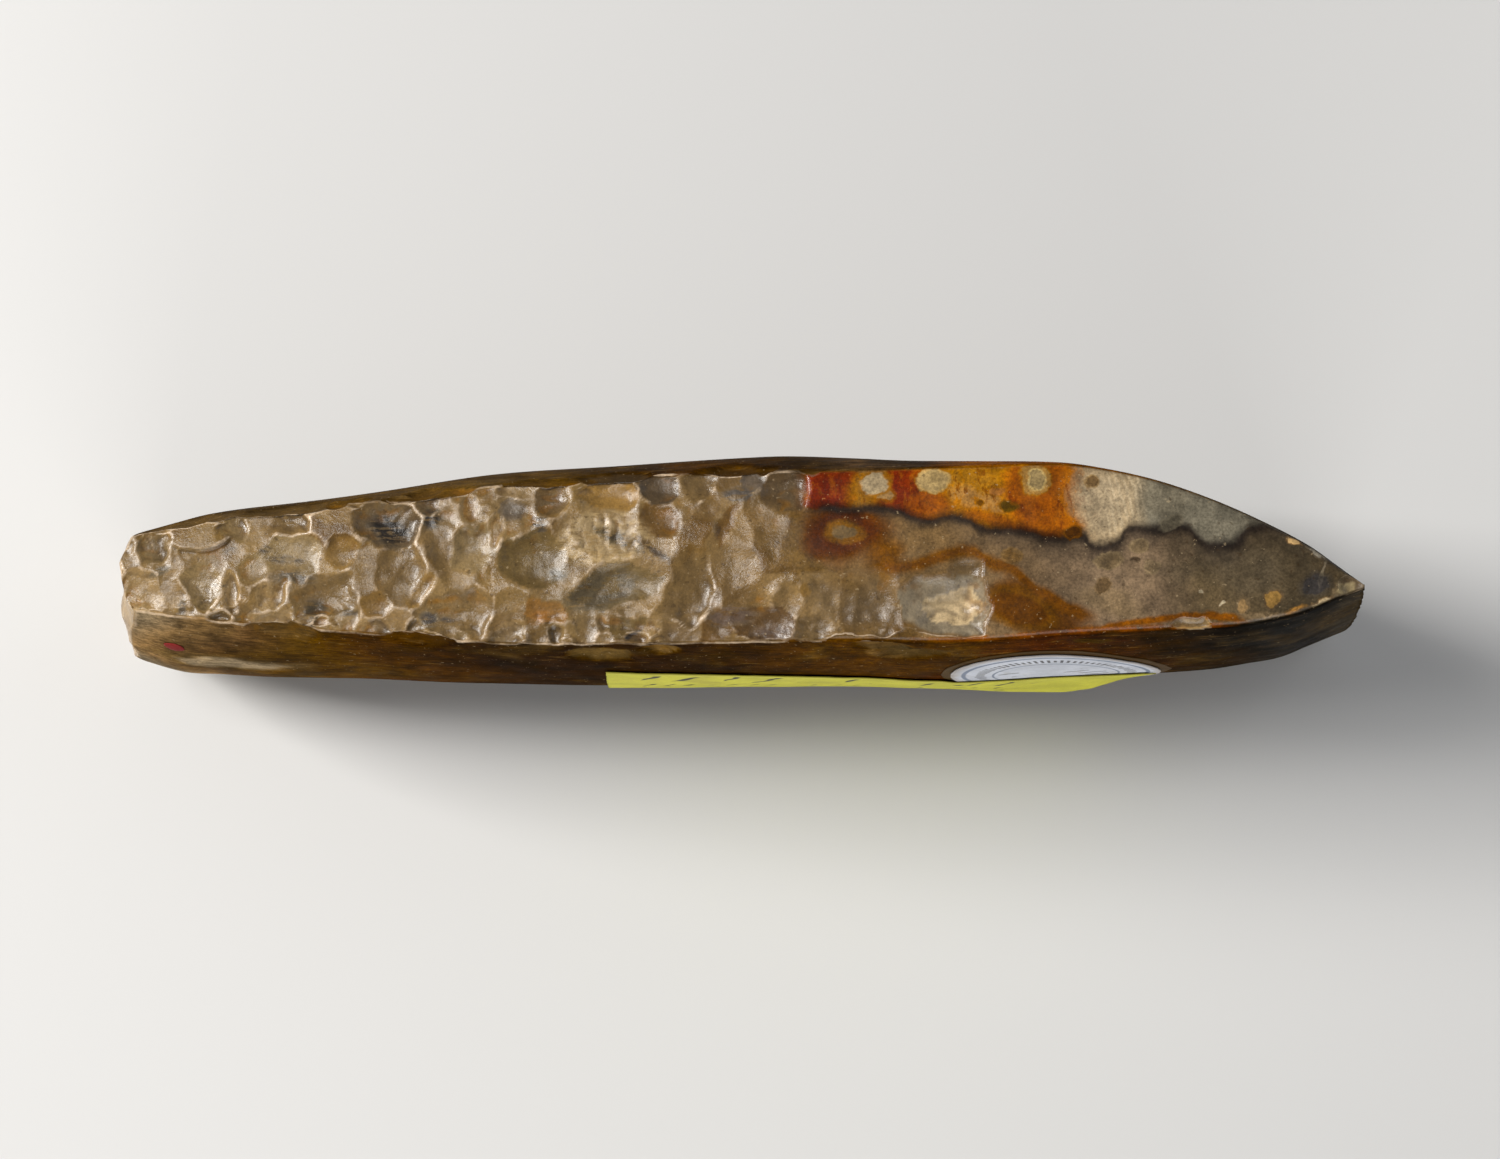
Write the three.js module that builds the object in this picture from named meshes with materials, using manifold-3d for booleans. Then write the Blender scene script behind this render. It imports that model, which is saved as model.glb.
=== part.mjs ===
// Thick-butted flint axe head: a knapped and ground stone with old paper labels on one broad face.
// Millimetres, +Z up. The stone stands on its far narrow side. +X runs from the butt to the cutting
// edge, +Y points out of the plain broad face and -Y out of the labelled one.
import * as THREE from "three";
import { mergeVertices } from "three/addons/utils/BufferGeometryUtils.js";
import Module from "manifold-3d";

// Driving sizes of the stone.
const axe_length = 168;
const butt_width = 45; // from the far narrow side to the near one, at the butt
const edge_width = 58; // the same at the cutting edge
const side_bow = 2.2; // how far the near narrow side bows out between its ends
const plain_reach = 12.8; // from the axis to the plain face's margin, where it stands out most
const label_reach = 11.2; // from the axis to the labelled face's margin, where it stands out most
const plain_crown = 5.0; // how far the plain face swells above its margins
const label_crown = 5.3; // how far the labelled face swells above its margins
const near_side_crown = 0.8; // how far the near narrow side swells between its margins
const butt_bow = 1.5; // how far the butt bulges past its near margin
const butt_corner_set_back = 1.7; // the butt's corners lie this much behind its middle
const edge_bow = 0.9; // how far the cutting edge curves out at its middle
const far_corner_set_back = 0.5; // the cutting edge's far corner lies this much behind the near one
const margin_round = 0.8; // rounding along the four long margins
const margin_round_share = 0.2; // the most of the thickness that a margin's rounding takes
const corner_pull_share = 0.1; // the most of the thickness that a margin's corner is pulled in
const end_power = 8; // how quickly the curves of both ends fade out along the stone
const edge_crowding = 0.06; // how far the grid lines are drawn towards the cutting edge
const crown_flat_depth = 0.3; // what a flat ground spot takes off the plain face's crown

const scar_depth = 1.25; // depth of the deepest flake scars

// The labels, the gum and the paint, all on the labelled face.
const oval_long = 37;
const oval_short = 25.6;
const oval_place_share = [0.761, 0.53]; // along the face and up it
const oval_turn = -57; // degrees
const gum_margin = 1.3; // how far the gum shows past the oval
const strip_length = 75.4;
const strip_width = 20;
const strip_right_slant = 9.5; // how far the oblique right end slants back
const strip_left_slant = 3.2; // how far the left end slants
const strip_place_share = [0.392, 0.51]; // of the middle of its left end
const strip_turn = -9; // degrees
const dab_long = 3.4;
const dab_short = 2.4;
const dab_place_share = [0.04, 0.797];
const gum_gap = 0.12;
const gum_thickness = 0.1;
const oval_gap = 0.3;
const strip_gap = 0.55;
const paper_thickness = 0.15;
const dab_gap = 0.1;
const dab_thickness = 0.15;

// Faces along the stone, across its narrow sides and across its broad faces.
const length_steps = 38;
const thickness_steps = 5;
const width_steps = 9;
const scar_segments = 12;
const scar_ring_shares = [0.55, 0.95, 1.35];

// How far each margin stands from the axis, butt to edge, as shares of the length and of the reach.
const plain_margin_shares = [
  [0, 0.336],
  [0.05, 0.461],
  [0.1, 0.547],
  [0.2, 0.664],
  [0.3, 0.805],
  [0.4, 0.883],
  [0.5, 0.93],
  [0.6, 0.953],
  [0.7, 0.984],
  [0.76, 1],
  [0.795, 0.941],
  [0.835, 0.82],
  [0.875, 0.641],
  [0.915, 0.414],
  [0.955, 0.141],
  [0.98, -0.094],
  [1, -0.289],
];
const label_margin_shares = [
  [0, 0.482],
  [0.05, 0.598],
  [0.1, 0.679],
  [0.2, 0.821],
  [0.3, 0.946],
  [0.4, 0.982],
  [0.5, 0.973],
  [0.6, 0.973],
  [0.65, 1],
  [0.7, 0.982],
  [0.76, 0.92],
  [0.85, 0.857],
  [0.9, 0.821],
  [0.93, 0.741],
  [0.95, 0.67],
  [0.97, 0.545],
  [1, 0.366],
];
// How far each broad face swells, as shares of the length and of the crown.
const plain_crown_shares = [
  [0, 0.42],
  [0.035, 0.53],
  [0.065, 0.64],
  [0.14, 0.67],
  [0.21, 0.77],
  [0.3, 0.89],
  [0.4, 0.89],
  [0.5, 0.98],
  [0.54, 1],
  [0.59, 0.9],
  [0.64, 0.75],
  [0.71, 0.63],
  [0.76, 0.5],
  [0.85, 0.3],
  [0.93, 0.04],
  [1, -0.34],
];
const label_crown_shares = [
  [0, 0.83],
  [0.04, 1],
  [0.07, 0.94],
  [0.11, 0.89],
  [0.146, 0.8],
  [0.19, 0.69],
  [0.25, 0.6],
  [0.31, 0.5],
  [0.38, 0.49],
  [0.6, 0.47],
  [0.85, 0.42],
  [0.91, 0.34],
  [0.957, 0.42],
  [1, 0.4],
];

// Scars: along the face, across it, half length, half breadth, depth, turn and lean in degrees.
// A positive lean makes the scar deeper at its far end.
const near_scar_shares = [
  [0.024, 0.78, 0.09, 0.12, 0.7, 0, 3],
  [0.02, 0.26, 0.15, 0.13, 0.8, 0, 2],
  [0.067, 0.36, 0.1, 0.17, 0.6, 0, 4],
  [0.087, 0.28, 0.08, 0.1, 0.55, 20, 6],
  [0.108, 0.5, 0.11, 0.1, 0.35, 0, 2],
  [0.122, 0.24, 0.09, 0.08, 0.5, 0, 6],
  [0.114, 0.06, 0.18, 0.07, 0.55, 3, 3],
  [0.09, 0.87, 0.1, 0.1, 0.65, 0, 5],
  [0.131, 0.88, 0.13, 0.11, 0.7, -25, 5],
  [0.138, 0.6, 0.2, 0.13, 0.6, -6, 3],
  [0.163, 0.25, 0.21, 0.16, 0.85, 4, 5],
  [0.18, 0.1, 0.12, 0.09, 0.5, 0, 3],
  [0.182, 0.6, 0.11, 0.09, 0.45, 10, 3],
  [0.216, 0.85, 0.18, 0.15, 0.95, -12, 5],
  [0.221, 0.5, 0.15, 0.22, 0.75, 10, 5],
  [0.21, 0.2, 0.13, 0.1, 0.5, 0, 3],
  [0.206, 0.05, 0.15, 0.07, 0.6, 0, 2],
  [0.238, 0.31, 0.1, 0.09, 0.5, 0, 4],
  [0.25, 0.93, 0.09, 0.1, 0.7, 0, 3],
  [0.256, 0.64, 0.11, 0.17, 0.6, 8, 3],
  [0.281, 0.6, 0.17, 0.14, 0.85, -20, 3],
  [0.334, 0.54, 0.21, 0.17, 1, 0, 2],
  [0.316, 0.85, 0.11, 0.09, 0.6, 0, 3],
  [0.347, 0.9, 0.12, 0.1, 0.5, 0, 3],
  [0.272, 0.17, 0.21, 0.17, 0.95, -6, 4],
  [0.316, 0.08, 0.13, 0.1, 0.5, 0, 2],
  [0.347, 0.18, 0.13, 0.08, 0.45, 8, 2],
  [0.404, 0.33, 0.27, 0.14, 1, 18, 3],
  [0.396, 0.62, 0.2, 0.13, 0.45, 0, 1],
  [0.397, 0.9, 0.17, 0.13, 0.75, 0, 2],
  [0.438, 0.95, 0.13, 0.11, 0.7, 0, 3],
  [0.468, 0.94, 0.12, 0.11, 0.6, 0, 4],
  [0.438, 0.74, 0.12, 0.1, 0.45, 0, 2],
  [0.456, 0.31, 0.17, 0.25, 0.95, -10, 5],
  [0.41, 0.07, 0.17, 0.09, 0.6, 0, 3],
  [0.494, 0.62, 0.05, 0.2, 0.3, 28, 0],
  [0.536, 0.88, 0.13, 0.13, 0.75, 0, 4],
  [0.513, 0.96, 0.1, 0.09, 0.45, 0, 2],
  [0.52, 0.08, 0.19, 0.12, 0.7, 0, 3],
  [0.56, 0.06, 0.11, 0.1, 0.5, 0, 3],
  [0.555, 0.28, 0.09, 0.07, 0.3, 15, 0],
  [0.6, 0.2, 0.2, 0.16, 0.85, 0, 4],
  [0.665, 0.17, 0.24, 0.17, 0.8, 0, 4],
  [0.68, 0.43, 0.09, 0.07, 0.35, 0, 2],
  [0.863, 0, 0.14, 0.07, 0.5, 0, 3],
  [0.985, 0.2, 0.07, 0.08, 0.35, -30, 0],
];
const far_scar_shares = [
  [0.026, 0.72, 0.17, 0.17, 0.6, 10, 3],
  [0.022, 0.22, 0.13, 0.16, 0.55, -20, 3],
  [0.075, 0.44, 0.2, 0.14, 0.5, 25, 3],
  [0.082, 0.05, 0.18, 0.14, 0.6, 0, 3],
  [0.094, 0.9, 0.21, 0.15, 0.65, -12, 3],
  [0.14, 0.3, 0.15, 0.19, 0.45, 0, 2],
  [0.155, 0.66, 0.22, 0.13, 0.5, -28, 2],
  [0.168, 0.98, 0.13, 0.11, 0.5, 0, 3],
  [0.172, 0.02, 0.24, 0.15, 0.65, 6, 2],
  [0.222, 0.86, 0.16, 0.12, 0.5, 14, 3],
  [0.248, 0.16, 0.14, 0.1, 0.4, -24, 3],
  [0.27, 0.99, 0.25, 0.13, 0.65, 0, 2],
  [0.315, 0.03, 0.16, 0.11, 0.5, 0, 2],
  [0.375, 0.95, 0.12, 0.1, 0.4, -15, 3],
  [0.425, 0, 0.26, 0.1, 0.5, 0, 2],
  [0.505, 1, 0.19, 0.09, 0.45, 0, 2],
  [0.665, 0.01, 0.14, 0.08, 0.4, 0, 2],
];
const butt_scar_shares = [
  [0.3, 0.2, 0.28, 0.3, 0.8, 15, 3],
  [0.68, 0.36, 0.24, 0.3, 0.7, -10, 3],
  [0.25, 0.58, 0.26, 0.32, 0.8, 5, 2],
  [0.72, 0.74, 0.25, 0.28, 0.7, 20, 3],
  [0.3, 0.88, 0.22, 0.22, 0.55, 0, 3],
  [0.75, 0.12, 0.2, 0.2, 0.5, 0, 2],
];
const plain_face_scar_shares = [
  [0.05, 0.9, 0.3, 0.26, 0.6, 15, 2],
  [0.13, 0.97, 0.28, 0.3, 0.6, 0, 2],
  [0.27, 0.98, 0.24, 0.2, 0.5, -8, 2],
  [0.4, 1, 0.2, 0.16, 0.4, 0, 1],
  [0.04, 0.25, 0.3, 0.3, 0.6, -15, 2],
  [0.14, 0.06, 0.28, 0.3, 0.6, 0, 2],
  [0.25, 0.02, 0.25, 0.22, 0.5, 10, 2],
  [0.38, 0, 0.2, 0.16, 0.4, 0, 1],
  [0.93, 0.35, 0.16, 0.22, 0.25, 0, 1],
];
const label_face_scar_shares = [
  [0.05, 0.06, 0.28, 0.28, 0.55, 10, 2],
  [0.16, 0.02, 0.26, 0.26, 0.5, 0, 2],
  [0.28, 0, 0.22, 0.2, 0.45, 0, 2],
  [0.13, 0.99, 0.2, 0.14, 0.45, 0, 2],
  [0.24, 1, 0.2, 0.14, 0.45, 0, 2],
  [0.375, 0.9, 0.24, 0.16, 0.35, 0, 1],
  [0.435, 0.94, 0.15, 0.12, 0.3, 0, 1],
  [0.55, 0, 0.16, 0.13, 0.4, 0, 2],
];
const edge_scar_shares = [
  [0.99, 0.93, 0.1, 0.12, 0.3, 20, 0],
  [0.996, 0.61, 0.05, 0.06, 0.2, 0, 0],
  [0.994, 0.27, 0.08, 0.14, 0.25, 0, 0],
];

const half_share = 0.5;
const weld_reach = 1e-4; // points this close to each other are one point
const slope_step = 0.002; // the share over which the slope of a face is taken
const crown_steps = 200; // places along the stone at which its crown is looked for
const degrees = Math.PI / 180;
// The thickness between the margins, which the sizes of the scars follow.
const scar_span = plain_reach + label_reach;

// A smooth curve through a table of shares: the height above a place along the axis.
function through(table, along) {
  let step = 0;
  while (step < table.length - 2 && along > table[step + 1][0]) step += 1;
  const [from, to] = [table[step], table[step + 1]];
  const before = table[Math.max(step - 1, 0)];
  const after = table[Math.min(step + 2, table.length - 1)];
  const run = to[0] - from[0];
  const slope_from = (to[1] - before[1]) / (to[0] - before[0]);
  const slope_to = (after[1] - from[1]) / (after[0] - from[0]);
  const t = Math.min(Math.max((along - from[0]) / run, 0), 1);
  const rest = 1 - t;
  const start = from[1] * (1 + 2 * t) * rest * rest + slope_from * run * t * rest * rest;
  return start + to[1] * t * t * (3 - 2 * t) - slope_to * run * t * t * rest;
}

// 0 at both ends of a share and 1 half way.
function arch(share) {
  return 4 * share * (1 - share);
}

function widthAt(along) {
  return butt_width + (edge_width - butt_width) * along + side_bow * arch(along);
}

function plainHeight(along, up) {
  const margin = plain_reach * through(plain_margin_shares, along);
  return margin + plain_crown * through(plain_crown_shares, along) * arch(up);
}

function labelHeight(along, up) {
  const margin = label_reach * through(label_margin_shares, along);
  return -margin - label_crown * through(label_crown_shares, along) * arch(up);
}

// A point of the stone's skin: along it, across it from the labelled face, and up from its far side.
function stonePoint(along, across, up) {
  const low = labelHeight(along, up);
  const high = plainHeight(along, up);
  const fullness = Math.min((high - low) / (plain_reach + label_reach), 1);
  const near = near_side_crown * arch(across) * up * fullness;
  const bulge = butt_bow * arch(up) * (1 - across * half_share);
  const butt = (bulge - butt_corner_set_back * (1 - arch(across))) * (1 - along) ** end_power;
  const edge = (edge_bow * arch(up) - far_corner_set_back * (1 - up)) * along ** end_power;
  const x = axe_length * along - butt + edge;
  return new THREE.Vector3(x, low + (high - low) * across, up * widthAt(along) + near);
}

// Positions only, with shared corners merged, so that the mesh is one closed body.
function closedShape(geometry) {
  const bare = geometry.index ? geometry.toNonIndexed() : geometry.clone();
  bare.deleteAttribute("normal");
  bare.deleteAttribute("uv");
  return mergeVertices(bare, weld_reach);
}

function reshape(geometry, place) {
  const positions = geometry.attributes.position;
  const point = new THREE.Vector3();
  for (let i = 0; i < positions.count; i += 1) {
    const moved = place(point.fromBufferAttribute(positions, i));
    positions.setXYZ(i, moved.x, moved.y, moved.z);
  }
  return geometry;
}

// Grid lines of a block's side: one close to each margin, the rest spread evenly.
function gridShare(share, steps, margin_share) {
  const line = Math.round(share * steps);
  if (line === 0 || line === steps) return line / steps;
  return margin_share + ((line - 1) / (steps - 2)) * (1 - 2 * margin_share);
}

// The cutting edge has its grid lines closer together than the body.
function lengthShare(share) {
  return share + edge_crowding * Math.sin(2 * Math.PI * share) * share;
}

function stoneShape() {
  const block = new THREE.BoxGeometry(1, 1, 1, length_steps, thickness_steps, width_steps);
  return reshape(closedShape(block), (point) => {
    const along = lengthShare(point.x + half_share);
    const across_raw = point.y + half_share;
    const up_raw = point.z + half_share;
    const depth = plainHeight(along, half_share) - labelHeight(along, half_share);
    const round_share = Math.min(margin_round / depth, margin_round_share);
    const across = gridShare(across_raw, thickness_steps, round_share);
    const up = gridShare(up_raw, width_steps, margin_round / widthAt(along));
    const placed = stonePoint(along, across, up);
    const on_corner = (across === 0 || across === 1) && (up === 0 || up === 1);
    if (on_corner) {
      const thickness = plainHeight(along, up) - labelHeight(along, up);
      const pull = Math.min(margin_round * (1 - Math.SQRT1_2), thickness * corner_pull_share);
      placed.y += across === 0 ? pull : -pull;
      placed.z += up === 0 ? pull : -pull;
    }
    return placed;
  });
}

// A shallow bowl, one across and one deep, that carries on above the face that it is cut into.
function bowlShape() {
  const profile = [new THREE.Vector2(0, -1)];
  for (const ring of scar_ring_shares) profile.push(new THREE.Vector2(ring, ring * ring - 1));
  const top = scar_ring_shares[scar_ring_shares.length - 1] ** 2 - 1;
  profile.push(new THREE.Vector2(0, top));
  return closedShape(new THREE.LatheGeometry(profile, scar_segments));
}

// The two directions along a face and the one out of it, at a place on the face.
function faceFrame(face, along, across) {
  const origin = face.point(along, across);
  const ahead = face.point(along + slope_step, across);
  const run = ahead.sub(face.point(along - slope_step, across)).normalize();
  const above = face.point(along, across + slope_step);
  const rise = above.sub(face.point(along, across - slope_step));
  const out = new THREE.Vector3().crossVectors(run, rise).normalize();
  if (out.dot(face.out) < 0) out.negate();
  const side = new THREE.Vector3().crossVectors(out, run);
  return { origin, run, out, side };
}

function scarPlacement(face, row) {
  const [along, across, half_length, half_breadth, depth, turn, lean] = row;
  const frame = faceFrame(face, along, across);
  const size = new THREE.Matrix4().makeScale(
    half_length * scar_span,
    depth * scar_depth,
    half_breadth * scar_span,
  );
  const leaning = new THREE.Matrix4().makeRotationZ(-lean * degrees);
  const turning = new THREE.Matrix4().makeRotationY(turn * degrees);
  const basis = new THREE.Matrix4().makeBasis(frame.run, frame.out, frame.side.negate());
  basis.setPosition(frame.origin);
  return basis.multiply(turning).multiply(leaning).multiply(size);
}

const near_face = {
  point: (along, across) => stonePoint(along, across, 1),
  out: new THREE.Vector3(0, 0, 1),
};
const far_face = {
  point: (along, across) => stonePoint(along, across, 0),
  out: new THREE.Vector3(0, 0, -1),
};
const butt_face = {
  point: (across, up) => stonePoint(0, across, up),
  out: new THREE.Vector3(-1, 0, 0),
};
const plain_face = {
  point: (along, up) => stonePoint(along, 1, up),
  out: new THREE.Vector3(0, 1, 0),
};
const label_face = {
  point: (along, up) => stonePoint(along, 0, up),
  out: new THREE.Vector3(0, -1, 0),
};
const scar_tables = [
  [near_face, near_scar_shares],
  [far_face, far_scar_shares],
  [butt_face, butt_scar_shares],
  [plain_face, plain_face_scar_shares],
  [label_face, label_face_scar_shares],
  [plain_face, edge_scar_shares],
];

const wasm = await Module();
wasm.setup();

function toSolid(geometry) {
  return new wasm.Manifold(new wasm.Mesh({
    numProp: 3,
    vertProperties: new Float32Array(geometry.attributes.position.array),
    triVerts: new Uint32Array(geometry.index.array),
  }));
}

function toGeometry(solid) {
  const mesh = solid.getMesh();
  const geometry = new THREE.BufferGeometry();
  geometry.setAttribute("position", new THREE.BufferAttribute(mesh.vertProperties, 3));
  geometry.setIndex(new THREE.BufferAttribute(mesh.triVerts, 1));
  geometry.computeVertexNormals();
  return geometry;
}

// The highest place of the plain face, where the ground flat lies.
function crownHeight() {
  let highest = 0;
  for (let i = 0; i <= crown_steps; i += 1) {
    highest = Math.max(highest, plainHeight(i / crown_steps, half_share));
  }
  return highest;
}

function bladeGeometry() {
  let solid = toSolid(stoneShape());
  const bowl = bowlShape();
  for (const [face, rows] of scar_tables) {
    for (const row of rows) {
      solid = solid.subtract(toSolid(bowl.clone().applyMatrix4(scarPlacement(face, row))));
    }
  }
  const above = new THREE.BoxGeometry(axe_length, plain_crown, edge_width);
  const flat = crownHeight() - crown_flat_depth;
  above.translate(axe_length * half_share, flat + plain_crown * half_share, edge_width * half_share);
  return toGeometry(solid.subtract(toSolid(closedShape(above))));
}

// Lays a flat shape on the labelled face: its x runs along the face, y out of it and z down it.
function wrapOnLabelFace(shape, place_share, turn, gap) {
  const cos = Math.cos(turn * degrees);
  const sin = Math.sin(turn * degrees);
  const from_butt = place_share[0] * axe_length;
  const from_far_side = place_share[1] * widthAt(place_share[0]);
  reshape(shape, (point) => {
    const x = from_butt + point.x * cos + point.z * sin;
    const z = from_far_side + point.x * sin - point.z * cos;
    const along = x / axe_length;
    return new THREE.Vector3(x, labelHeight(along, z / widthAt(along)) - gap - point.y, z);
  });
  shape.computeVertexNormals();
  return shape;
}

// A thin disc with rings, so that it can follow a curved face.
function discShape(long, short, thickness, segments, rings) {
  const profile = [];
  for (let ring = 0; ring <= rings; ring += 1) profile.push(new THREE.Vector2(ring / rings, 0));
  for (let ring = rings; ring >= 0; ring -= 1) profile.push(new THREE.Vector2(ring / rings, 1));
  const disc = closedShape(new THREE.LatheGeometry(profile, segments));
  return disc.scale(long * half_share, thickness, short * half_share);
}

function stripShape() {
  const sheet = closedShape(new THREE.BoxGeometry(1, 1, 1, 18, 1, 5));
  return reshape(sheet, (point) => {
    const left = strip_left_slant * point.z;
    const right = strip_length - strip_right_slant * (half_share + point.z);
    return new THREE.Vector3(
      left + (point.x + half_share) * (right - left),
      (point.y + half_share) * paper_thickness,
      point.z * strip_width,
    );
  });
}

const flint = new THREE.MeshStandardMaterial({ color: 0x6b6157, roughness: 0.38, metalness: 0 });
const gum = new THREE.MeshStandardMaterial({ color: 0x7a5a2e, roughness: 0.45, metalness: 0 });
const white_paper = new THREE.MeshStandardMaterial({ color: 0xdde0e4, roughness: 0.8, metalness: 0 });
const yellow_paper = new THREE.MeshStandardMaterial({ color: 0xc9c552, roughness: 0.8, metalness: 0 });
const red_paint = new THREE.MeshStandardMaterial({ color: 0xb03a2c, roughness: 0.5, metalness: 0 });

function namedMesh(name, geometry, material) {
  const mesh = new THREE.Mesh(geometry, material);
  mesh.name = name;
  return mesh;
}

const flint_blade = namedMesh("flint_blade", bladeGeometry(), flint);

const gum_disc = discShape(oval_long + 2 * gum_margin, oval_short + 2 * gum_margin, gum_thickness, 32, 4);
const gum_shape = wrapOnLabelFace(gum_disc, oval_place_share, oval_turn, gum_gap);
const gum_film = namedMesh("gum_film", gum_shape, gum);

const oval_disc = discShape(oval_long, oval_short, paper_thickness, 32, 4);
const oval_shape = wrapOnLabelFace(oval_disc, oval_place_share, oval_turn, oval_gap);
const oval_label = namedMesh("oval_label", oval_shape, white_paper);

const strip_shape = wrapOnLabelFace(stripShape(), strip_place_share, strip_turn, strip_gap);
const strip_label = namedMesh("strip_label", strip_shape, yellow_paper);

const dab_disc = discShape(dab_long, dab_short, dab_thickness, 14, 2);
const dab_shape = wrapOnLabelFace(dab_disc, dab_place_share, 0, dab_gap);
const red_paint_dab = namedMesh("red_paint_dab", dab_shape, red_paint);

// The origin is under the middle of the whole axe, on the surface that it stands on.
const axe = new THREE.Group();
axe.add(flint_blade, gum_film, oval_label, strip_label, red_paint_dab);
const reach = new THREE.Box3().setFromObject(axe, true);
const middle = reach.getCenter(new THREE.Vector3());
axe.position.set(-middle.x, -middle.y, -reach.min.z);
axe.updateMatrixWorld(true);

export default axe;
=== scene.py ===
"""A thick-butted flint axe head, knapped and part polished, with old paper labels on one broad face.

The stone is one sculpted mesh. Its form follows the same shares as the solids of the frame, and its
flake scars are shallow bowls that meet in ridges. The colours of the flint are laid out along it.
"""
import math
import random

import bmesh
import bpy
import numpy as np
from bpy.props import FloatProperty, FloatVectorProperty, PointerProperty
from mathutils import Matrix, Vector, noise


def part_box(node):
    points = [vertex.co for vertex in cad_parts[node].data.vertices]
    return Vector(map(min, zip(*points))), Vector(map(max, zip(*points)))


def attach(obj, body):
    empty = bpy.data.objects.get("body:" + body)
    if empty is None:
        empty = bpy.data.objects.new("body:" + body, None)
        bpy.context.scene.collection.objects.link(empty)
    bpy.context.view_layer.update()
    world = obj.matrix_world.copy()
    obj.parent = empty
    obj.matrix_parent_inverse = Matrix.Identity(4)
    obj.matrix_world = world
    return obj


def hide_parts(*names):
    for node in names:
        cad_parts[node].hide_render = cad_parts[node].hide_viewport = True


bl_info = {
    "name": "Flint axe head",
    "version": (1, 0, 0),
    "blender": (4, 5, 0),
    "location": "3D View > Sidebar > Flint axe",
    "description": "Builds a knapped and polished flint axe head with old paper labels",
    "category": "Object",
}

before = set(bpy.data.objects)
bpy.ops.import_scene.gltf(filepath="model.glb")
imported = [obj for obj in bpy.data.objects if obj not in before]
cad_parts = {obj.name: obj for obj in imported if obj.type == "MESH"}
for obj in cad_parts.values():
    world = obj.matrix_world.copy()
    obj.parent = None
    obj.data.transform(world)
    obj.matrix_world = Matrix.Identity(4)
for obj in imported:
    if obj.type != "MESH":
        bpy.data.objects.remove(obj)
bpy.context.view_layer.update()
blade_low, blade_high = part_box("flint_blade")

# Lengths in the tables and functions of the stone are millimetres, and the scene is in metres.
MM = 0.001

# The stone, as its solid is built.
LENGTH = 168.0
BUTT_WIDTH = 45.0
EDGE_WIDTH = 58.0
SIDE_BOW = 2.2
PLAIN_REACH = 12.8
LABEL_REACH = 11.2
PLAIN_CROWN = 5.0
LABEL_CROWN = 5.3
NEAR_SIDE_CROWN = 0.8
BUTT_BOW = 1.5
BUTT_CORNER_SET_BACK = 1.7
BUTT_SPARE = 0.4
EDGE_BOW = 0.9
FAR_CORNER_SET_BACK = 0.5
CROWN_FLAT_DEPTH = 0.3
SCAR_SPAN = PLAIN_REACH + LABEL_REACH

# Shares of the length, and of the reach or crown there.
PLAIN_MARGIN_SHARES = [
    (0, 0.336), (0.05, 0.461), (0.1, 0.547), (0.2, 0.664), (0.3, 0.805), (0.4, 0.883), (0.5, 0.93),
    (0.6, 0.953), (0.7, 0.984), (0.76, 1), (0.795, 0.941), (0.835, 0.82), (0.875, 0.641),
    (0.915, 0.414), (0.955, 0.141), (0.98, -0.094), (1, -0.289),
]
LABEL_MARGIN_SHARES = [
    (0, 0.482), (0.05, 0.598), (0.1, 0.679), (0.2, 0.821), (0.3, 0.946), (0.4, 0.982), (0.5, 0.973),
    (0.6, 0.973), (0.65, 1), (0.7, 0.982), (0.76, 0.92), (0.85, 0.857), (0.9, 0.821), (0.93, 0.741),
    (0.95, 0.67), (0.97, 0.545), (1, 0.366),
]
PLAIN_CROWN_SHARES = [
    (0, 0.42), (0.035, 0.53), (0.065, 0.64), (0.14, 0.67), (0.21, 0.77), (0.3, 0.89), (0.4, 0.89),
    (0.5, 0.98), (0.54, 1), (0.59, 0.9), (0.64, 0.75), (0.71, 0.63), (0.76, 0.5), (0.85, 0.3),
    (0.93, 0.04), (1, -0.34),
]
LABEL_CROWN_SHARES = [
    (0, 0.83), (0.04, 1), (0.07, 0.94), (0.11, 0.89), (0.146, 0.8), (0.19, 0.69), (0.25, 0.6),
    (0.31, 0.5), (0.38, 0.49), (0.6, 0.47), (0.85, 0.42), (0.91, 0.34), (0.957, 0.42), (1, 0.4),
]

# Tones of the flint and its stains, as red, green and blue of 255.
TONES = {
    "sand": (153, 131, 100),
    "cream": (184, 158, 120),
    "tan": (150, 122, 84),
    "beige_grey": (132, 115, 88),
    "grey_brown": (116, 97, 71),
    "olive_brown": (104, 88, 62),
    "brown": (106, 82, 55),
    "dark_brown": (88, 68, 48),
    "smoke": (80, 68, 54),
    "orange_brown": (148, 112, 76),
    "blue_grey": (98, 92, 86),
    "pale_grey": (146, 136, 118),
    "ivory": (208, 188, 156),
    "pale_buff": (168, 150, 124),
    "slate": (120, 114, 100),
    "ash": (126, 112, 92),
    "dun": (124, 102, 76),
    "fawn": (122, 105, 87),
    "drab": (104, 90, 70),
    "dusk": (66, 58, 46),
    "tawny": (156, 114, 68),
    "rust": (140, 74, 14),
    "rust_red": (124, 42, 4),
    "amber": (130, 76, 26),
    "earth": (82, 62, 36),
    "clay": (83, 65, 42),
    "umber": (72, 46, 18),
    "red_umber": (68, 30, 2),
    "bark": (48, 32, 14),
    "peat": (40, 22, 4),
    "pitch": (16, 13, 9),
}

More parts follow.
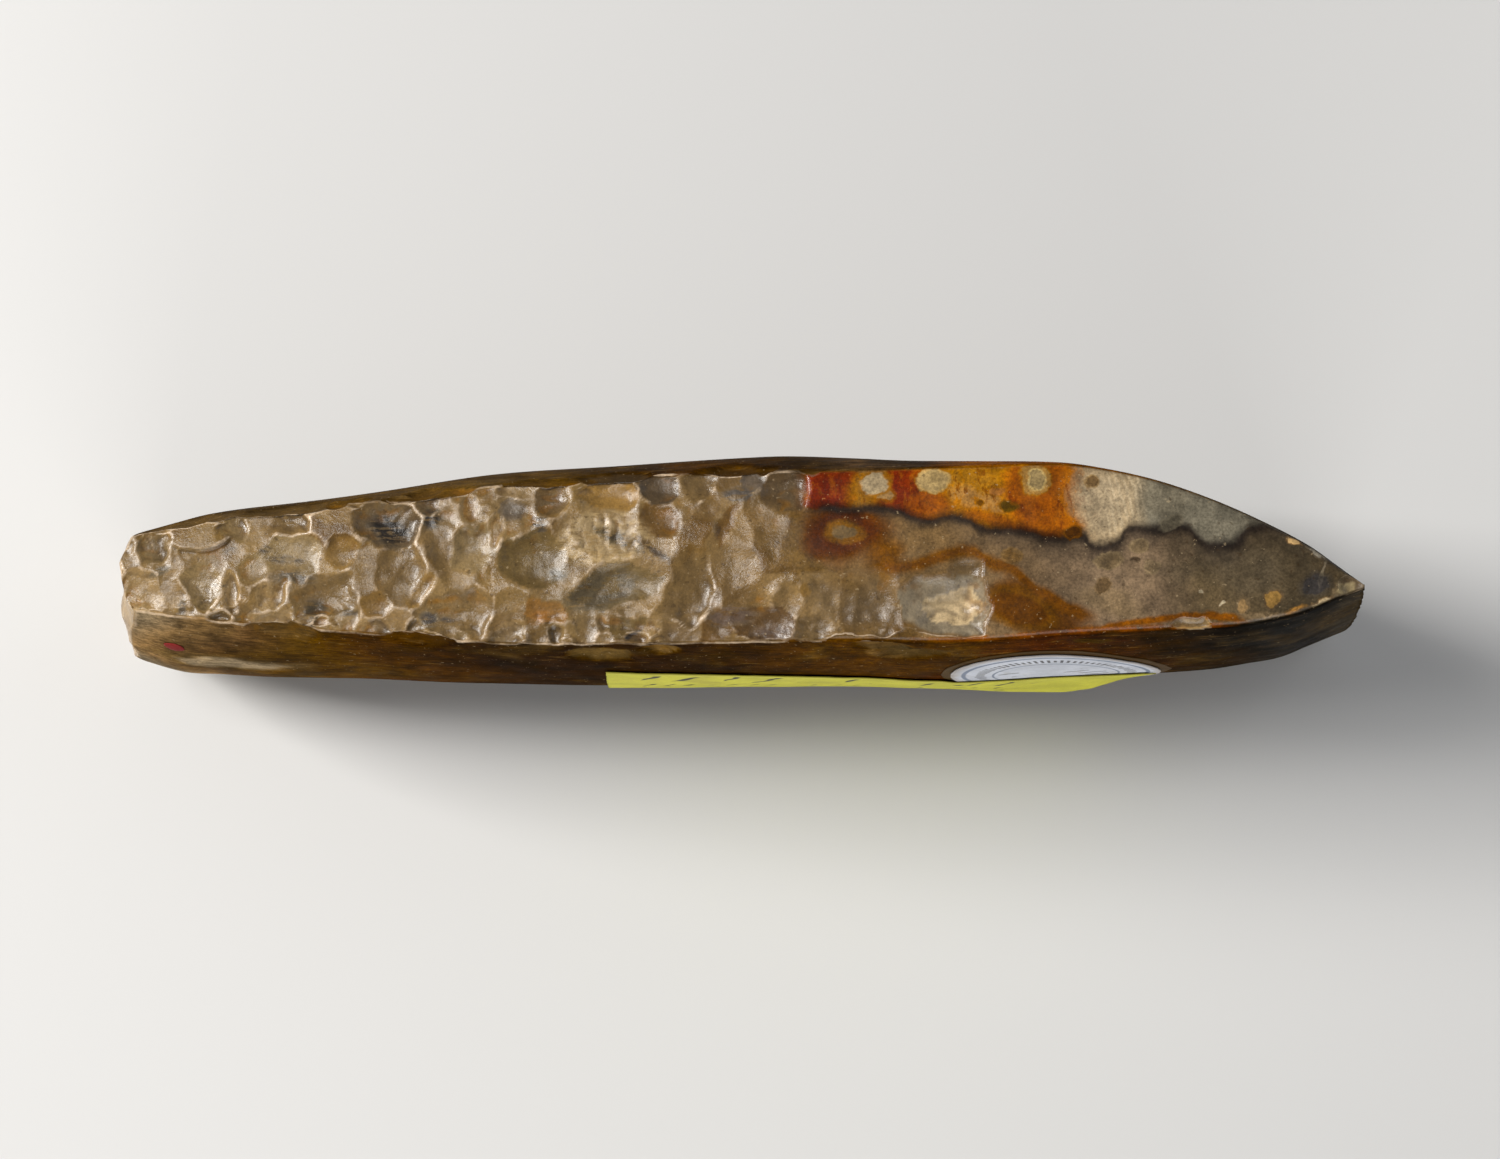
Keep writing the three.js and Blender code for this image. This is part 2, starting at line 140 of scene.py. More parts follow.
# Flake scars: along the face, across it, half length, half breadth, depth in mm, turn in degrees,
# how far its deepest place lies towards the edge, tone, and how much of the tone it has.
NEAR_SCARS = [
    (0.024, 0.76, 0.09, 0.13, 0.75, 0, 0.45, "beige_grey", 0.6),
    (0.018, 0.24, 0.16, 0.13, 0.85, 0, -0.3, "sand", 0.8),
    (0.066, 0.38, 0.105, 0.18, 0.7, -8, 0.3, "beige_grey", 0.7),
    (0.086, 0.29, 0.07, 0.1, 0.7, 20, 0.6, "sand", 0.7),
    (0.108, 0.5, 0.11, 0.1, 0.45, 0, 0.3, "beige_grey", 0.6),
    (0.121, 0.24, 0.09, 0.085, 0.7, 0, 0.65, "sand", 0.8),
    (0.113, 0.06, 0.18, 0.07, 0.6, -4, 0.7, "sand", 0.6),
    (0.09, 0.86, 0.1, 0.1, 0.7, 10, 0.5, "beige_grey", 0.5),
    (0.131, 0.88, 0.125, 0.11, 0.8, 25, 0.5, "grey_brown", 0.7),
    (0.137, 0.57, 0.22, 0.14, 0.7, -8, 0.35, "beige_grey", 0.9),
    (0.163, 0.24, 0.22, 0.16, 0.95, 8, 0.5, "grey_brown", 0.8),
    (0.179, 0.09, 0.12, 0.1, 0.6, 0, 0.6, "sand", 0.5),
    (0.182, 0.6, 0.11, 0.09, 0.5, 30, 0.1, "tan", 0.4),
    (0.217, 0.83, 0.18, 0.15, 1.15, -20, 0.6, "smoke", 0.5),
    (0.221, 0.47, 0.15, 0.24, 0.85, 8, 0.5, "grey_brown", 0.7),
    (0.21, 0.2, 0.13, 0.1, 0.55, 0, 0.3, "tan", 0.4),
    (0.206, 0.05, 0.15, 0.07, 0.65, 0, 0.4, "sand", 0.6),
    (0.238, 0.3, 0.1, 0.09, 0.6, 0, 0.5, "tan", 0.5),
    (0.25, 0.93, 0.09, 0.1, 0.75, 0, 0.2, "smoke", 0.5),
    (0.257, 0.64, 0.11, 0.19, 0.7, 10, 0.2, "grey_brown", 0.8),
    (0.281, 0.6, 0.17, 0.15, 0.95, 25, 0.3, "beige_grey", 0.8),
    (0.303, 0.72, 0.06, 0.12, 0.6, -25, 0.3, "sand", 0.6),
    (0.334, 0.53, 0.22, 0.175, 1.05, 0, 0.1, "olive_brown", 0.9),
    (0.316, 0.84, 0.115, 0.1, 0.7, 15, 0.4, "blue_grey", 0.7),
    (0.347, 0.9, 0.13, 0.1, 0.65, -10, 0.2, "smoke", 0.4),
    (0.272, 0.17, 0.22, 0.17, 1.0, -8, 0.4, "grey_brown", 0.9),
    (0.317, 0.07, 0.12, 0.09, 0.6, 0, 0.3, "sand", 0.5),
    (0.347, 0.17, 0.14, 0.09, 0.5, -8, 0.3, "orange_brown", 0.65),
    (0.404, 0.33, 0.28, 0.14, 1.1, 16, 0.0, "olive_brown", 0.9),
    (0.397, 0.62, 0.2, 0.13, 0.55, 0, 0.0, "cream", 0.5),
    (0.397, 0.89, 0.18, 0.12, 0.85, -5, 0.2, "tan", 0.95),
    (0.438, 0.95, 0.13, 0.12, 0.8, 0, 0.2, "smoke", 0.9),
    (0.468, 0.95, 0.12, 0.12, 0.7, 0, 0.5, "grey_brown", 0.7),
    (0.438, 0.75, 0.12, 0.11, 0.5, 20, 0.2, "brown", 0.8),
    (0.457, 0.3, 0.15, 0.26, 1.05, -22, 0.5, "grey_brown", 0.8),
    (0.41, 0.09, 0.17, 0.1, 0.65, 0, 0.3, "olive_brown", 0.8),
    (0.427, 0.05, 0.1, 0.06, 0.5, 30, 0.3, "sand", 0.7),
    (0.493, 0.63, 0.035, 0.22, 0.28, -18, 0.4, "brown", 0.6),
    (0.536, 0.87, 0.14, 0.13, 0.8, 0, 0.55, "smoke", 0.6),
    (0.513, 0.95, 0.1, 0.09, 0.6, 0, 0.2, "blue_grey", 0.7),
    (0.483, 0.07, 0.13, 0.1, 0.55, 0, 0.3, "brown", 0.6),
    (0.521, 0.09, 0.19, 0.13, 0.75, -5, 0.3, "dark_brown", 0.8),
    (0.56, 0.08, 0.11, 0.11, 0.6, 0, 0.4, "grey_brown", 0.7),
    (0.556, 0.27, 0.09, 0.07, 0.3, -15, 0.0, "tan", 0.5),
    (0.6, 0.2, 0.21, 0.18, 0.7, -6, 0.3, "grey_brown", 0.4),
    (0.661, 0.2, 0.28, 0.195, 1.4, 6, 0.6, "pale_grey", 0.8),
    (0.666, 0.195, 0.225, 0.155, 2.1, 4, 0.55, "ivory", 0.95),
    (0.682, 0.42, 0.09, 0.07, 0.55, 0, 0.5, "grey_brown", 0.7),
    (0.863, 0.01, 0.11, 0.055, 0.55, -5, 0.5, "cream", 0.7),
    (0.987, 0.16, 0.07, 0.08, 0.35, -30, 0.0, "smoke", 0.3),
]
FAR_SCARS = [
    (0.026, 0.72, 0.17, 0.17, 0.75, 10, 0.3, "sand", 0.6),
    (0.022, 0.22, 0.13, 0.16, 0.7, -20, 0.3, "beige_grey", 0.6),
    (0.075, 0.44, 0.2, 0.14, 0.6, 25, 0.3, "beige_grey", 0.7),
    (0.082, 0.05, 0.18, 0.14, 0.7, 0, 0.4, "grey_brown", 0.6),
    (0.094, 0.9, 0.21, 0.15, 0.75, -12, 0.4, "sand", 0.6),
    (0.14, 0.3, 0.15, 0.19, 0.55, 0, 0.3, "tan", 0.5),
    (0.155, 0.66, 0.22, 0.13, 0.6, -28, 0.2, "grey_brown", 0.7),
    (0.168, 0.98, 0.13, 0.11, 0.6, 0, 0.4, "smoke", 0.4),
    (0.172, 0.02, 0.24, 0.15, 0.75, 6, 0.2, "olive_brown", 0.7),
    (0.222, 0.86, 0.16, 0.12, 0.6, 14, 0.4, "beige_grey", 0.6),
    (0.248, 0.16, 0.14, 0.1, 0.5, -24, 0.3, "grey_brown", 0.6),
    (0.27, 0.99, 0.25, 0.13, 0.75, 0, 0.2, "olive_brown", 0.7),
    (0.315, 0.03, 0.16, 0.11, 0.6, 0, 0.3, "tan", 0.6),
    (0.375, 0.95, 0.12, 0.1, 0.5, -15, 0.3, "smoke", 0.5),
    (0.425, 0.0, 0.26, 0.1, 0.6, 0, 0.2, "grey_brown", 0.6),
    (0.505, 1.0, 0.19, 0.09, 0.55, 0, 0.3, "beige_grey", 0.6),
    (0.665, 0.01, 0.14, 0.08, 0.5, 0, 0.3, "grey_brown", 0.6),
]
BUTT_SCARS = [
    (0.3, 0.2, 0.28, 0.3, 0.9, 15, 0.3, "sand", 0.5),
    (0.68, 0.36, 0.24, 0.3, 0.8, -10, 0.3, "beige_grey", 0.6),
    (0.25, 0.58, 0.26, 0.32, 0.9, 5, 0.2, "cream", 0.5),
    (0.72, 0.74, 0.25, 0.28, 0.8, 20, 0.3, "tan", 0.5),
    (0.3, 0.88, 0.22, 0.22, 0.65, 0, 0.3, "sand", 0.6),
    (0.75, 0.12, 0.2, 0.2, 0.6, 0, 0.2, "beige_grey", 0.6),
]
PLAIN_SCARS = [
    (0.05, 0.93, 0.3, 0.2, 0.5, 15, 0.2, "grey_brown", 0.3),
    (0.13, 0.99, 0.28, 0.22, 0.5, 0, 0.2, "grey_brown", 0.3),
    (0.275, 1.0, 0.13, 0.1, 0.5, -8, 0.2, "orange_brown", 0.5),
    (0.4, 1.0, 0.2, 0.16, 0.45, 0, 0.1, "smoke", 0.5),
    (0.03, 0.2, 0.3, 0.3, 0.5, -15, 0.2, "grey_brown", 0.3),
    (0.14, 0.03, 0.4, 0.24, 0.5, 8, 0.2, "grey_brown", 0.3),
    (0.25, 0.0, 0.3, 0.2, 0.45, 10, 0.2, "brown", 0.3),
    (0.38, 0.0, 0.2, 0.16, 0.45, 0, 0.1, "smoke", 0.5),
    (0.93, 0.35, 0.16, 0.22, 0.25, 0, 0.1, "olive_brown", 0.4),
]
LABEL_SCARS = [
    (0.05, 0.04, 0.34, 0.22, 0.5, 10, 0.2, "grey_brown", 0.35),
    (0.16, 0.0, 0.3, 0.22, 0.5, 0, 0.2, "grey_brown", 0.3),
    (0.28, -0.02, 0.26, 0.18, 0.5, 0, 0.2, "olive_brown", 0.3),
    (0.13, 0.99, 0.2, 0.14, 0.45, 0, 0.2, "grey_brown", 0.3),
    (0.24, 1.0, 0.2, 0.14, 0.45, 0, 0.2, "brown", 0.3),
    (0.387, 0.88, 0.17, 0.11, 0.4, 0, 0.1, "olive_brown", 0.6),
    (0.434, 0.93, 0.11, 0.08, 0.4, 0, 0.1, "grey_brown", 0.5),
    (0.614, 0.94, 0.14, 0.08, 0.35, 0, 0.1, "grey_brown", 0.5),
    (0.642, 0.88, 0.18, 0.1, 0.35, 0, 0.1, "olive_brown", 0.5),
    (0.55, 0.0, 0.16, 0.13, 0.45, 0, 0.2, "brown", 0.6),
]


def through(table, along):
    """A smooth curve through a table of shares, at many places at once."""
    places = np.array([row[0] for row in table], float)
    heights = np.array([row[1] for row in table], float)
    last = len(places) - 1
    before = np.maximum(np.arange(last + 1) - 1, 0)
    after = np.minimum(np.arange(last + 1) + 1, last)
    slopes = (heights[after] - heights[before]) / (places[after] - places[before])
    at = np.clip(np.searchsorted(places, along, side="right") - 1, 0, last - 1)
    run = places[at + 1] - places[at]
    t = np.clip((along - places[at]) / run, 0, 1)
    rest = 1 - t
    start = heights[at] * (1 + 2 * t) * rest * rest + slopes[at] * run * t * rest * rest
    return start + heights[at + 1] * t * t * (3 - 2 * t) - slopes[at + 1] * run * t * t * rest


def arch(share):
    """0 at both ends of a share and 1 half way."""
    return 4 * share * (1 - share)


def smooth_step(low, high, value):
    t = np.clip((value - low) / (high - low), 0, 1)
    return t * t * (3 - 2 * t)


def width_at(along):
    return BUTT_WIDTH + (EDGE_WIDTH - BUTT_WIDTH) * along + SIDE_BOW * arch(along)


def plain_height(along, up):
    margin = PLAIN_REACH * through(PLAIN_MARGIN_SHARES, along)
    return margin + PLAIN_CROWN * through(PLAIN_CROWN_SHARES, along) * arch(up)


def label_height(along, up):
    margin = LABEL_REACH * through(LABEL_MARGIN_SHARES, along)
    return -margin - LABEL_CROWN * through(LABEL_CROWN_SHARES, along) * arch(up)


def stone_point(along, across, up):
    """Places in or on the stone from three shares, as columns of millimetres."""
    low = label_height(along, up)
    high = plain_height(along, up)
    fullness = np.minimum((high - low) / (PLAIN_REACH + LABEL_REACH), 1)
    near = NEAR_SIDE_CROWN * arch(across) * up * fullness
    butt = BUTT_BOW * arch(up) * (1 - across / 2) - BUTT_CORNER_SET_BACK * (1 - arch(across))
    butt = butt * (1 - along) ** 8
    butt = butt + BUTT_SPARE * (1 - along) ** 8
    edge = (EDGE_BOW * arch(up) - FAR_CORNER_SET_BACK * (1 - up)) * along ** 8
    x = LENGTH * along - butt + edge
    return np.stack([x, low + (high - low) * across, up * width_at(along) + near], axis=-1)


def crown_height():
    """Where the ground flat lies on the plain face, above the axis."""
    return plain_height(np.linspace(0, 1, 201), 0.5).max() - CROWN_FLAT_DEPTH


def frame_offset():
    """From the stone's own measures to the frame, in millimetres."""
    ups = np.linspace(0, 1, 201)
    furthest = stone_point(np.ones(201), np.full(201, 0.5), ups)[:, 0].max()
    return np.array([blade_high.x / MM - furthest, blade_high.y / MM - crown_height(), 0.0])


OFFSET = frame_offset()


def to_linear(tone):
    """A colour of 255 as linear red, green and blue."""
    shares = [c / 255 for c in tone]
    return [s / 12.92 if s <= 0.04045 else ((s + 0.055) / 1.055) ** 2.4 for s in shares]


# Flat lands that the flakes have left between them on the near side: place and half sizes.
LANDS = [(29.6, 5.0, 5.4, 3.0), (10.6, 4.4, 4.4, 2.2)]

# Rough patches of the near side: place, half sizes and how rugged they are, in millimetres.
ROUGH_PATCHES = [
    (66.0, 3.1, 5.8, 3.4, 0.4), (66.9, -8.0, 3.0, 1.6, 0.2), (57.7, -7.3, 2.6, 1.2, 0.16),
    (70.5, -10.4, 4.0, 1.2, 0.25), (49.0, 2.0, 2.4, 7.0, 0.14), (12.0, -6.0, 5.0, 4.0, 0.14),
    (94.0, -10.0, 14.0, 1.6, 0.14),
]

# How finely the stone is cut along, across its narrow sides and across its broad faces.
CUTS_ALONG = 300
CUTS_ACROSS = 36
CUTS_UP = 58


def cut_across(bm, axis, cuts):
    """Cuts a block into slices along one of its axes."""
    others = [other for other in range(3) if other != axis]
    edges = []
    for edge in bm.edges:
        run = edge.verts[1].co - edge.verts[0].co
        if all(abs(run[other]) < abs(run[axis]) * 0.01 for other in others):
            edges.append(edge)
    bmesh.ops.subdivide_edges(bm, edges=edges, cuts=cuts - 1, use_grid_fill=True)


def cut_block():
    """A unit block with an even grid, twice as fine on its near narrow side."""
    bm = bmesh.new()
    bmesh.ops.create_cube(bm, size=1)
    cut_across(bm, 0, CUTS_ALONG)
    cut_across(bm, 1, CUTS_ACROSS)
    cut_across(bm, 2, CUTS_UP)
    near = [face for face in bm.faces if face.calc_center_median().z > 0.4999]
    edges = list({edge for face in near for edge in face.edges})
    bmesh.ops.subdivide_edges(bm, edges=edges, cuts=1, use_grid_fill=True)
    return bm


def read_places(mesh):
    places = np.empty(len(mesh.vertices) * 3, np.float64)
    mesh.vertices.foreach_get("co", places)
    return places.reshape(-1, 3)


def write_places(mesh, places):
    mesh.vertices.foreach_set("co", places.astype(np.float32).ravel())
    mesh.update()


def denser_ends(share, amount):
    """Draws the grid lines of a share towards both of its ends."""
    return share - amount * np.sin(2 * math.pi * share)


def round_block(shares, settings):
    """Rounds the block's margins. Gives the new shares and the direction that each place faces."""
    along = shares[:, 0]
    thickness = plain_height(along, shares[:, 2]) - label_height(along, shares[:, 2])
    width = width_at(along)
    ground = smooth_step(0.35, 0.6, along)
    knapped_round, ground_round = settings.knapped_round / MM, settings.ground_round / MM
    radius = knapped_round + (ground_round - knapped_round) * ground
    radius = np.minimum(radius, thickness * 0.4)
    butt_round = settings.butt_round / MM
    size = np.stack([np.full_like(along, LENGTH), thickness, width], axis=-1)
    block = shares * size
    inner = block.copy()
    inner[:, 0] = np.maximum(block[:, 0], butt_round)
    inner[:, 1] = np.clip(block[:, 1], radius, thickness - radius)
    inner[:, 2] = np.clip(block[:, 2], radius, width - radius)
    reach = block - inner
    # The butt's rounding is larger than the others, so it is measured in its own unit.
    unit = np.stack([np.full_like(along, butt_round), radius, radius], axis=-1)
    scaled = reach / unit
    length = np.linalg.norm(scaled, axis=1)
    facing = np.where(length[:, None] > 1e-6, scaled / np.maximum(length, 1e-6)[:, None], (1.0, 0, 0))
    rounded = np.where(length[:, None] > 1e-6, inner + facing * unit, block)
    return rounded / size, facing


# Blender's noise vectors differ from run to run unless they get a seed.
WOBBLE_SEED = 1


def wobble(places, scale, seed):
    """Smooth random moves, as three numbers for each place, over a scale in millimetres."""
    shift = Vector((seed * 7.31, seed * 3.17, seed * 5.83))
    noise.seed_set(WOBBLE_SEED)
    return np.array([noise.noise_vector(Vector(place) / scale + shift) for place in places])


class Face:
    """One side of the stone: which columns lie in it, and which way the stone is below it."""

    def __init__(self, flat, out, sign, point, surface):
        self.flat = flat
        self.out = out
        self.sign = sign
        self.point = point
        self.surface = surface


def near_surface(places):
    along = np.clip(places[:, 0] / LENGTH, 0, 1)
    low = label_height(along, 1.0)
    thickness = plain_height(along, 1.0) - low
    across = np.clip((places[:, 1] - low) / thickness, 0, 1)
    fullness = np.minimum(thickness / (PLAIN_REACH + LABEL_REACH), 1)
    return width_at(along) + NEAR_SIDE_CROWN * arch(across) * fullness


def up_share(places):
    along = np.clip(places[:, 0] / LENGTH, 0, 1)
    return along, np.clip(places[:, 2] / width_at(along), 0, 1)


def butt_surface(places):
    up = np.clip(places[:, 2] / BUTT_WIDTH, 0, 1)
    low = label_height(np.zeros(len(places)), up)
    across = np.clip((places[:, 1] - low) / (plain_height(np.zeros(len(places)), up) - low), 0, 1)
    bulge = BUTT_BOW * arch(up) * (1 - across / 2)
    return BUTT_CORNER_SET_BACK * (1 - arch(across)) - bulge - BUTT_SPARE


def face_point(*shares):
    return stone_point(*[np.array([share], float) for share in shares])[0]


NEAR = Face((0, 1), 2, 1, lambda a, b: face_point(a, b, 1), near_surface)
FAR = Face((0, 1), 2, -1, lambda a, b: face_point(a, b, 0), lambda places: np.zeros(len(places)))
PLAIN = Face((0, 2), 1, 1, lambda a, b: face_point(a, 1, b), lambda p: plain_height(*up_share(p)))
LABEL = Face((0, 2), 1, -1, lambda a, b: face_point(a, 0, b), lambda p: label_height(*up_share(p)))
BUTT = Face((1, 2), 0, -1, lambda a, b: face_point(0, a, b), butt_surface)


# The knapped skin lies this far below the faces, and drawn scars are deeper than their tables say.
KNAPPED_DEPTH = 0.3
SCAR_BOOST = 1.15

# How much smoother the large flake scars are than the stone between them.
CALM_SHARE = 0.4

# Ripples in a flake scar: how high they are as a share of its depth, and how far apart in mm.
RIPPLE_SHARE = 0.024
RIPPLE_LENGTH = 1.5


def margin_chips(seed, last, margin, depth, tone):
    """A row of small chips along one margin of a face: 0 is its low margin and 1 its high one."""
    chooser = random.Random(seed)
    rows = []
    x = 3.0
    while x < last:
        size = chooser.uniform(0.06, 0.16)
        inwards = chooser.uniform(-0.03, 0.06)
        rows.append((
            x / LENGTH, margin + inwards * (1 - 2 * margin), size, size * chooser.uniform(0.5, 1.0),
            depth * chooser.uniform(0.4, 1.0), chooser.uniform(-35, 35), chooser.uniform(-0.3, 0.5),
            tone, 0.3,
        ))
        x += chooser.uniform(2.5, 8.0)
    return rows


def bowl_depth(places, face, row):
    """How deep one flake scar lies below its face, and 0 or less where it doesn't reach."""
    along, across, half_length, half_breadth, depth, turn, shift = row[:7]
    centre = face.point(along, across)
    run = places[:, face.flat[0]] - centre[face.flat[0]]
    rise = places[:, face.flat[1]] - centre[face.flat[1]]
    cos, sin = math.cos(math.radians(turn)), math.sin(math.radians(turn))
    over = (run * cos + rise * sin) / (half_length * SCAR_SPAN)
    beside = (rise * cos - run * sin) / (half_breadth * SCAR_SPAN)
    over = np.where(over > shift, (over - shift) / (1 - shift), (over - shift) / (1 + shift))
    spread = over * over + beside * beside
    bowl = KNAPPED_DEPTH + SCAR_BOOST * depth * (1 - spread ** 1.2)
    # Ripples spread from the margin where the flake was struck off.
    struck = 1 if across > 0.5 else -1
    from_blow = np.hypot(run, rise - struck * half_breadth * SCAR_SPAN)
    wave = np.sin(from_blow * 2 * math.pi / RIPPLE_LENGTH)
    return bowl + RIPPLE_SHARE * depth * wave * smooth_step(1, 0.4, spread)


def knap(places, face, scars, warp, tone, crumple, lasting):
    """Lowers the places that lie in a face's flake scars, and gives them the scars' tones."""
    moved = places + warp
    depth_scale, cell, stretch, seed, kept = lasting
    bowls, numbers = lasting_scars(moved, face.flat, cell, stretch, seed)
    deepest = depth_scale * bowls - (1 - kept(places)) * depth_scale * 1.6
    cover = 0.45 * smooth_step(0, 0.1, deepest)
    calm = np.zeros(len(places))
    light, dark = np.array(to_linear(TONES["sand"])), np.array(to_linear(TONES["grey_brown"]))
    colour = dark + (light - dark) * smooth_step(0.1, 0.9, numbers)[:, None]
    for row in scars:
        depth = bowl_depth(moved, face, row)
        share = smooth_step(0, 0.25 * row[4], depth - KNAPPED_DEPTH * 0.8) * row[8]
        wins = depth > deepest
        deepest = np.where(wins, depth, deepest)
        calm = np.where(wins, CALM_SHARE, calm)
        cover = np.where(wins & (depth > 0), share, cover)
        colour = np.where((wins & (depth > 0))[:, None], to_linear(TONES[row[7]]), colour)
    surface = face.surface(places)
    crumpled = crumple * (1 - calm) * smooth_step(0, 0.3, deepest)
    limit = surface - face.sign * (deepest + crumpled)
    beyond = (places[:, face.out] - limit) * face.sign
    cut = (deepest > 0) & (beyond > 0)
    places[:, face.out] = np.where(cut, limit, places[:, face.out])
    tone[:, :3] = np.where(cut[:, None], colour, tone[:, :3])
    tone[:, 3] = np.where(cut, cover, tone[:, 3])
    return np.where(cut, deepest, 0.0)


def lasting_scars(places, flat, size, stretch, seed):
    """Bowls of many small flakes that cover a face without a gap, and a number for each flake."""
    shift = Vector((seed * 4.1, seed * 9.7, seed * 2.3))
    bowls = np.zeros(len(places))
    numbers = np.zeros(len(places))
    spots = np.stack([places[:, flat[0]] / stretch[0], places[:, flat[1]] / stretch[1]], axis=-1)
    for at, (run, rise) in enumerate(spots / size):
        distances, middles = noise.voronoi(Vector((run, rise, 0.0)) + shift)
        best = -1.0
        for distance, middle in zip(distances, middles):
            number = math.sin(middle.x * 12.9 + middle.y * 78.2 + middle.z * 37.7) * 43.7
            number -= math.floor(number)
            bowl = 0.35 + 0.45 * number + 2.2 * (0.34 - distance * distance)
            if bowl > best:
                best = bowl
                numbers[at] = number
        bowls[at] = best
    return bowls, numbers


def crest_of(mesh, places):
    """How sharply each place stands out (above 0) or lies in a crease (below 0)."""
    pairs = np.empty(len(mesh.edges) * 2, np.int64)
    mesh.edges.foreach_get("vertices", pairs)
    pairs = pairs.reshape(-1, 2)
    normals = np.empty(len(mesh.vertices) * 3, np.float64)
    mesh.vertices.foreach_get("normal", normals)
    normals = normals.reshape(-1, 3)
    run = places[pairs[:, 1]] - places[pairs[:, 0]]
    squared = np.maximum((run * run).sum(1), 1e-4)
    crest = np.zeros(len(places))
    count = np.zeros(len(places))
    for end, direction in ((0, -1), (1, 1)):
        bend = direction * (run * normals[pairs[:, end]]).sum(1) / squared
        np.add.at(crest, pairs[:, end], bend)
        np.add.at(count, pairs[:, end], 1)
    return crest / np.maximum(count, 1), pairs


def spread_out(values, pairs, rounds):
    """Evens a value out between neighbouring places."""
    for _ in range(rounds):
        total = values.copy()
        count = np.ones(len(values))
        for here, there in ((0, 1), (1, 0)):
            np.add.at(total, pairs[:, here], values[pairs[:, there]])
            np.add.at(count, pairs[:, here], 1)
        values = total / count
    return values


def store(mesh, name, kind, values):
    attribute = mesh.attributes.new(name, kind, "POINT")
    field = "color" if kind == "FLOAT_COLOR" else "value"
    attribute.data.foreach_set(field, values.astype(np.float32).ravel())


def near_kept(places):
    """1 where grinding has left the flake scars of the near side, and 0 where it has taken them."""
    last = 88 + 16 * smooth_step(2, -7, places[:, 1])
    kept = smooth_step(7, -4, places[:, 0] - last)
    for x, y, half_x, half_y in LANDS:
        spread = np.hypot((places[:, 0] - x) / half_x, (places[:, 1] - y) / half_y)
        kept = np.minimum(kept, smooth_step(0.75, 1.1, spread))
    return kept


def rough_patch(places):
    """How rugged the stone is in the rough patches of the near side, in millimetres."""
    rugged = np.zeros(len(places))
    for x, y, half_x, half_y, height in ROUGH_PATCHES:
        spread = np.hypot((places[:, 0] - x) / half_x, (places[:, 1] - y) / half_y)
        near = places[:, 2] > BUTT_WIDTH * 0.8
        rugged = np.maximum(rugged, height * smooth_step(1.1, 0.7, spread) * near)
    return rugged


def far_kept(places):
    return smooth_step(9, -12, places[:, 0] - 84)


def always_kept(places):
    return np.ones(len(places))


def never_kept(places):
    return np.zeros(len(places))


# The small flakes between the drawn scars: how deep and how wide they are in mm, how much longer
# they are along each direction of their face, and how deep the chips of the margins are.
NARROW_FLAKE_DEPTH = 0.66
BROAD_FLAKE_DEPTH = 0.3
BUTT_FLAKE_DEPTH = 0.35
FLAKE_SIZE = 6.0
BUTT_FLAKE_SIZE = 4.2
NARROW_STRETCH = (1.0, 1.3)
BROAD_STRETCH = (1.2, 1.0)
EVEN_STRETCH = (1.0, 1.0)
NEAR_CHIP_DEPTH = 1.0
BROAD_CHIP_DEPTH = 0.6
SMALL_FLAKE_SIZE = 2.3
SMALL_FLAKE_HEIGHT = 0.3
SMALL_FLAKE_STRETCH = (1.0, 1.4)

# Scales in mm of the slow, quick and fine moves of the surface, how much of each bends the scars,
# how much of them crumples the stone, and the scale of the patches that have small flakes.
SLOW_SCALE = 7.0
QUICK_SCALE = 2.2
FINE_SCALE = 0.9
SLOW_BEND = 1.25
QUICK_BEND = 0.7
FINE_BEND = 0.12
QUICK_CRUMPLE = 0.1
FINE_CRUMPLE = 0.045
PATCH_SCALE = 11.0

# How much denser the grid lines are at the ends of the stone and along its margins.
END_CROWDING = 0.02
MARGIN_CROWDING = 0.1


def faces_to_knap():
    """Every face, its drawn scars and chips, and what its small flakes are like."""
    near_chips = margin_chips(7, 90.0, 0, NEAR_CHIP_DEPTH, "sand")
    high_chips = margin_chips(8, 96.0, 1, BROAD_CHIP_DEPTH, "brown")
    low_chips = margin_chips(9, 150.0, 0, BROAD_CHIP_DEPTH, "brown")
    label_chips = margin_chips(10, 140.0, 0, BROAD_CHIP_DEPTH, "brown")
    narrow = (NARROW_FLAKE_DEPTH, FLAKE_SIZE, NARROW_STRETCH)
    broad = (BROAD_FLAKE_DEPTH, FLAKE_SIZE, BROAD_STRETCH)
    butt = (BUTT_FLAKE_DEPTH, BUTT_FLAKE_SIZE, EVEN_STRETCH)
    return (
        (NEAR, NEAR_SCARS + near_chips, narrow + (1, near_kept)),
        (FAR, FAR_SCARS, narrow + (2, far_kept)),
        (PLAIN, PLAIN_SCARS + high_chips + low_chips, broad + (3, never_kept)),
        (LABEL, LABEL_SCARS + label_chips, broad + (4, never_kept)),
        (BUTT, BUTT_SCARS, butt + (5, always_kept)),
    )


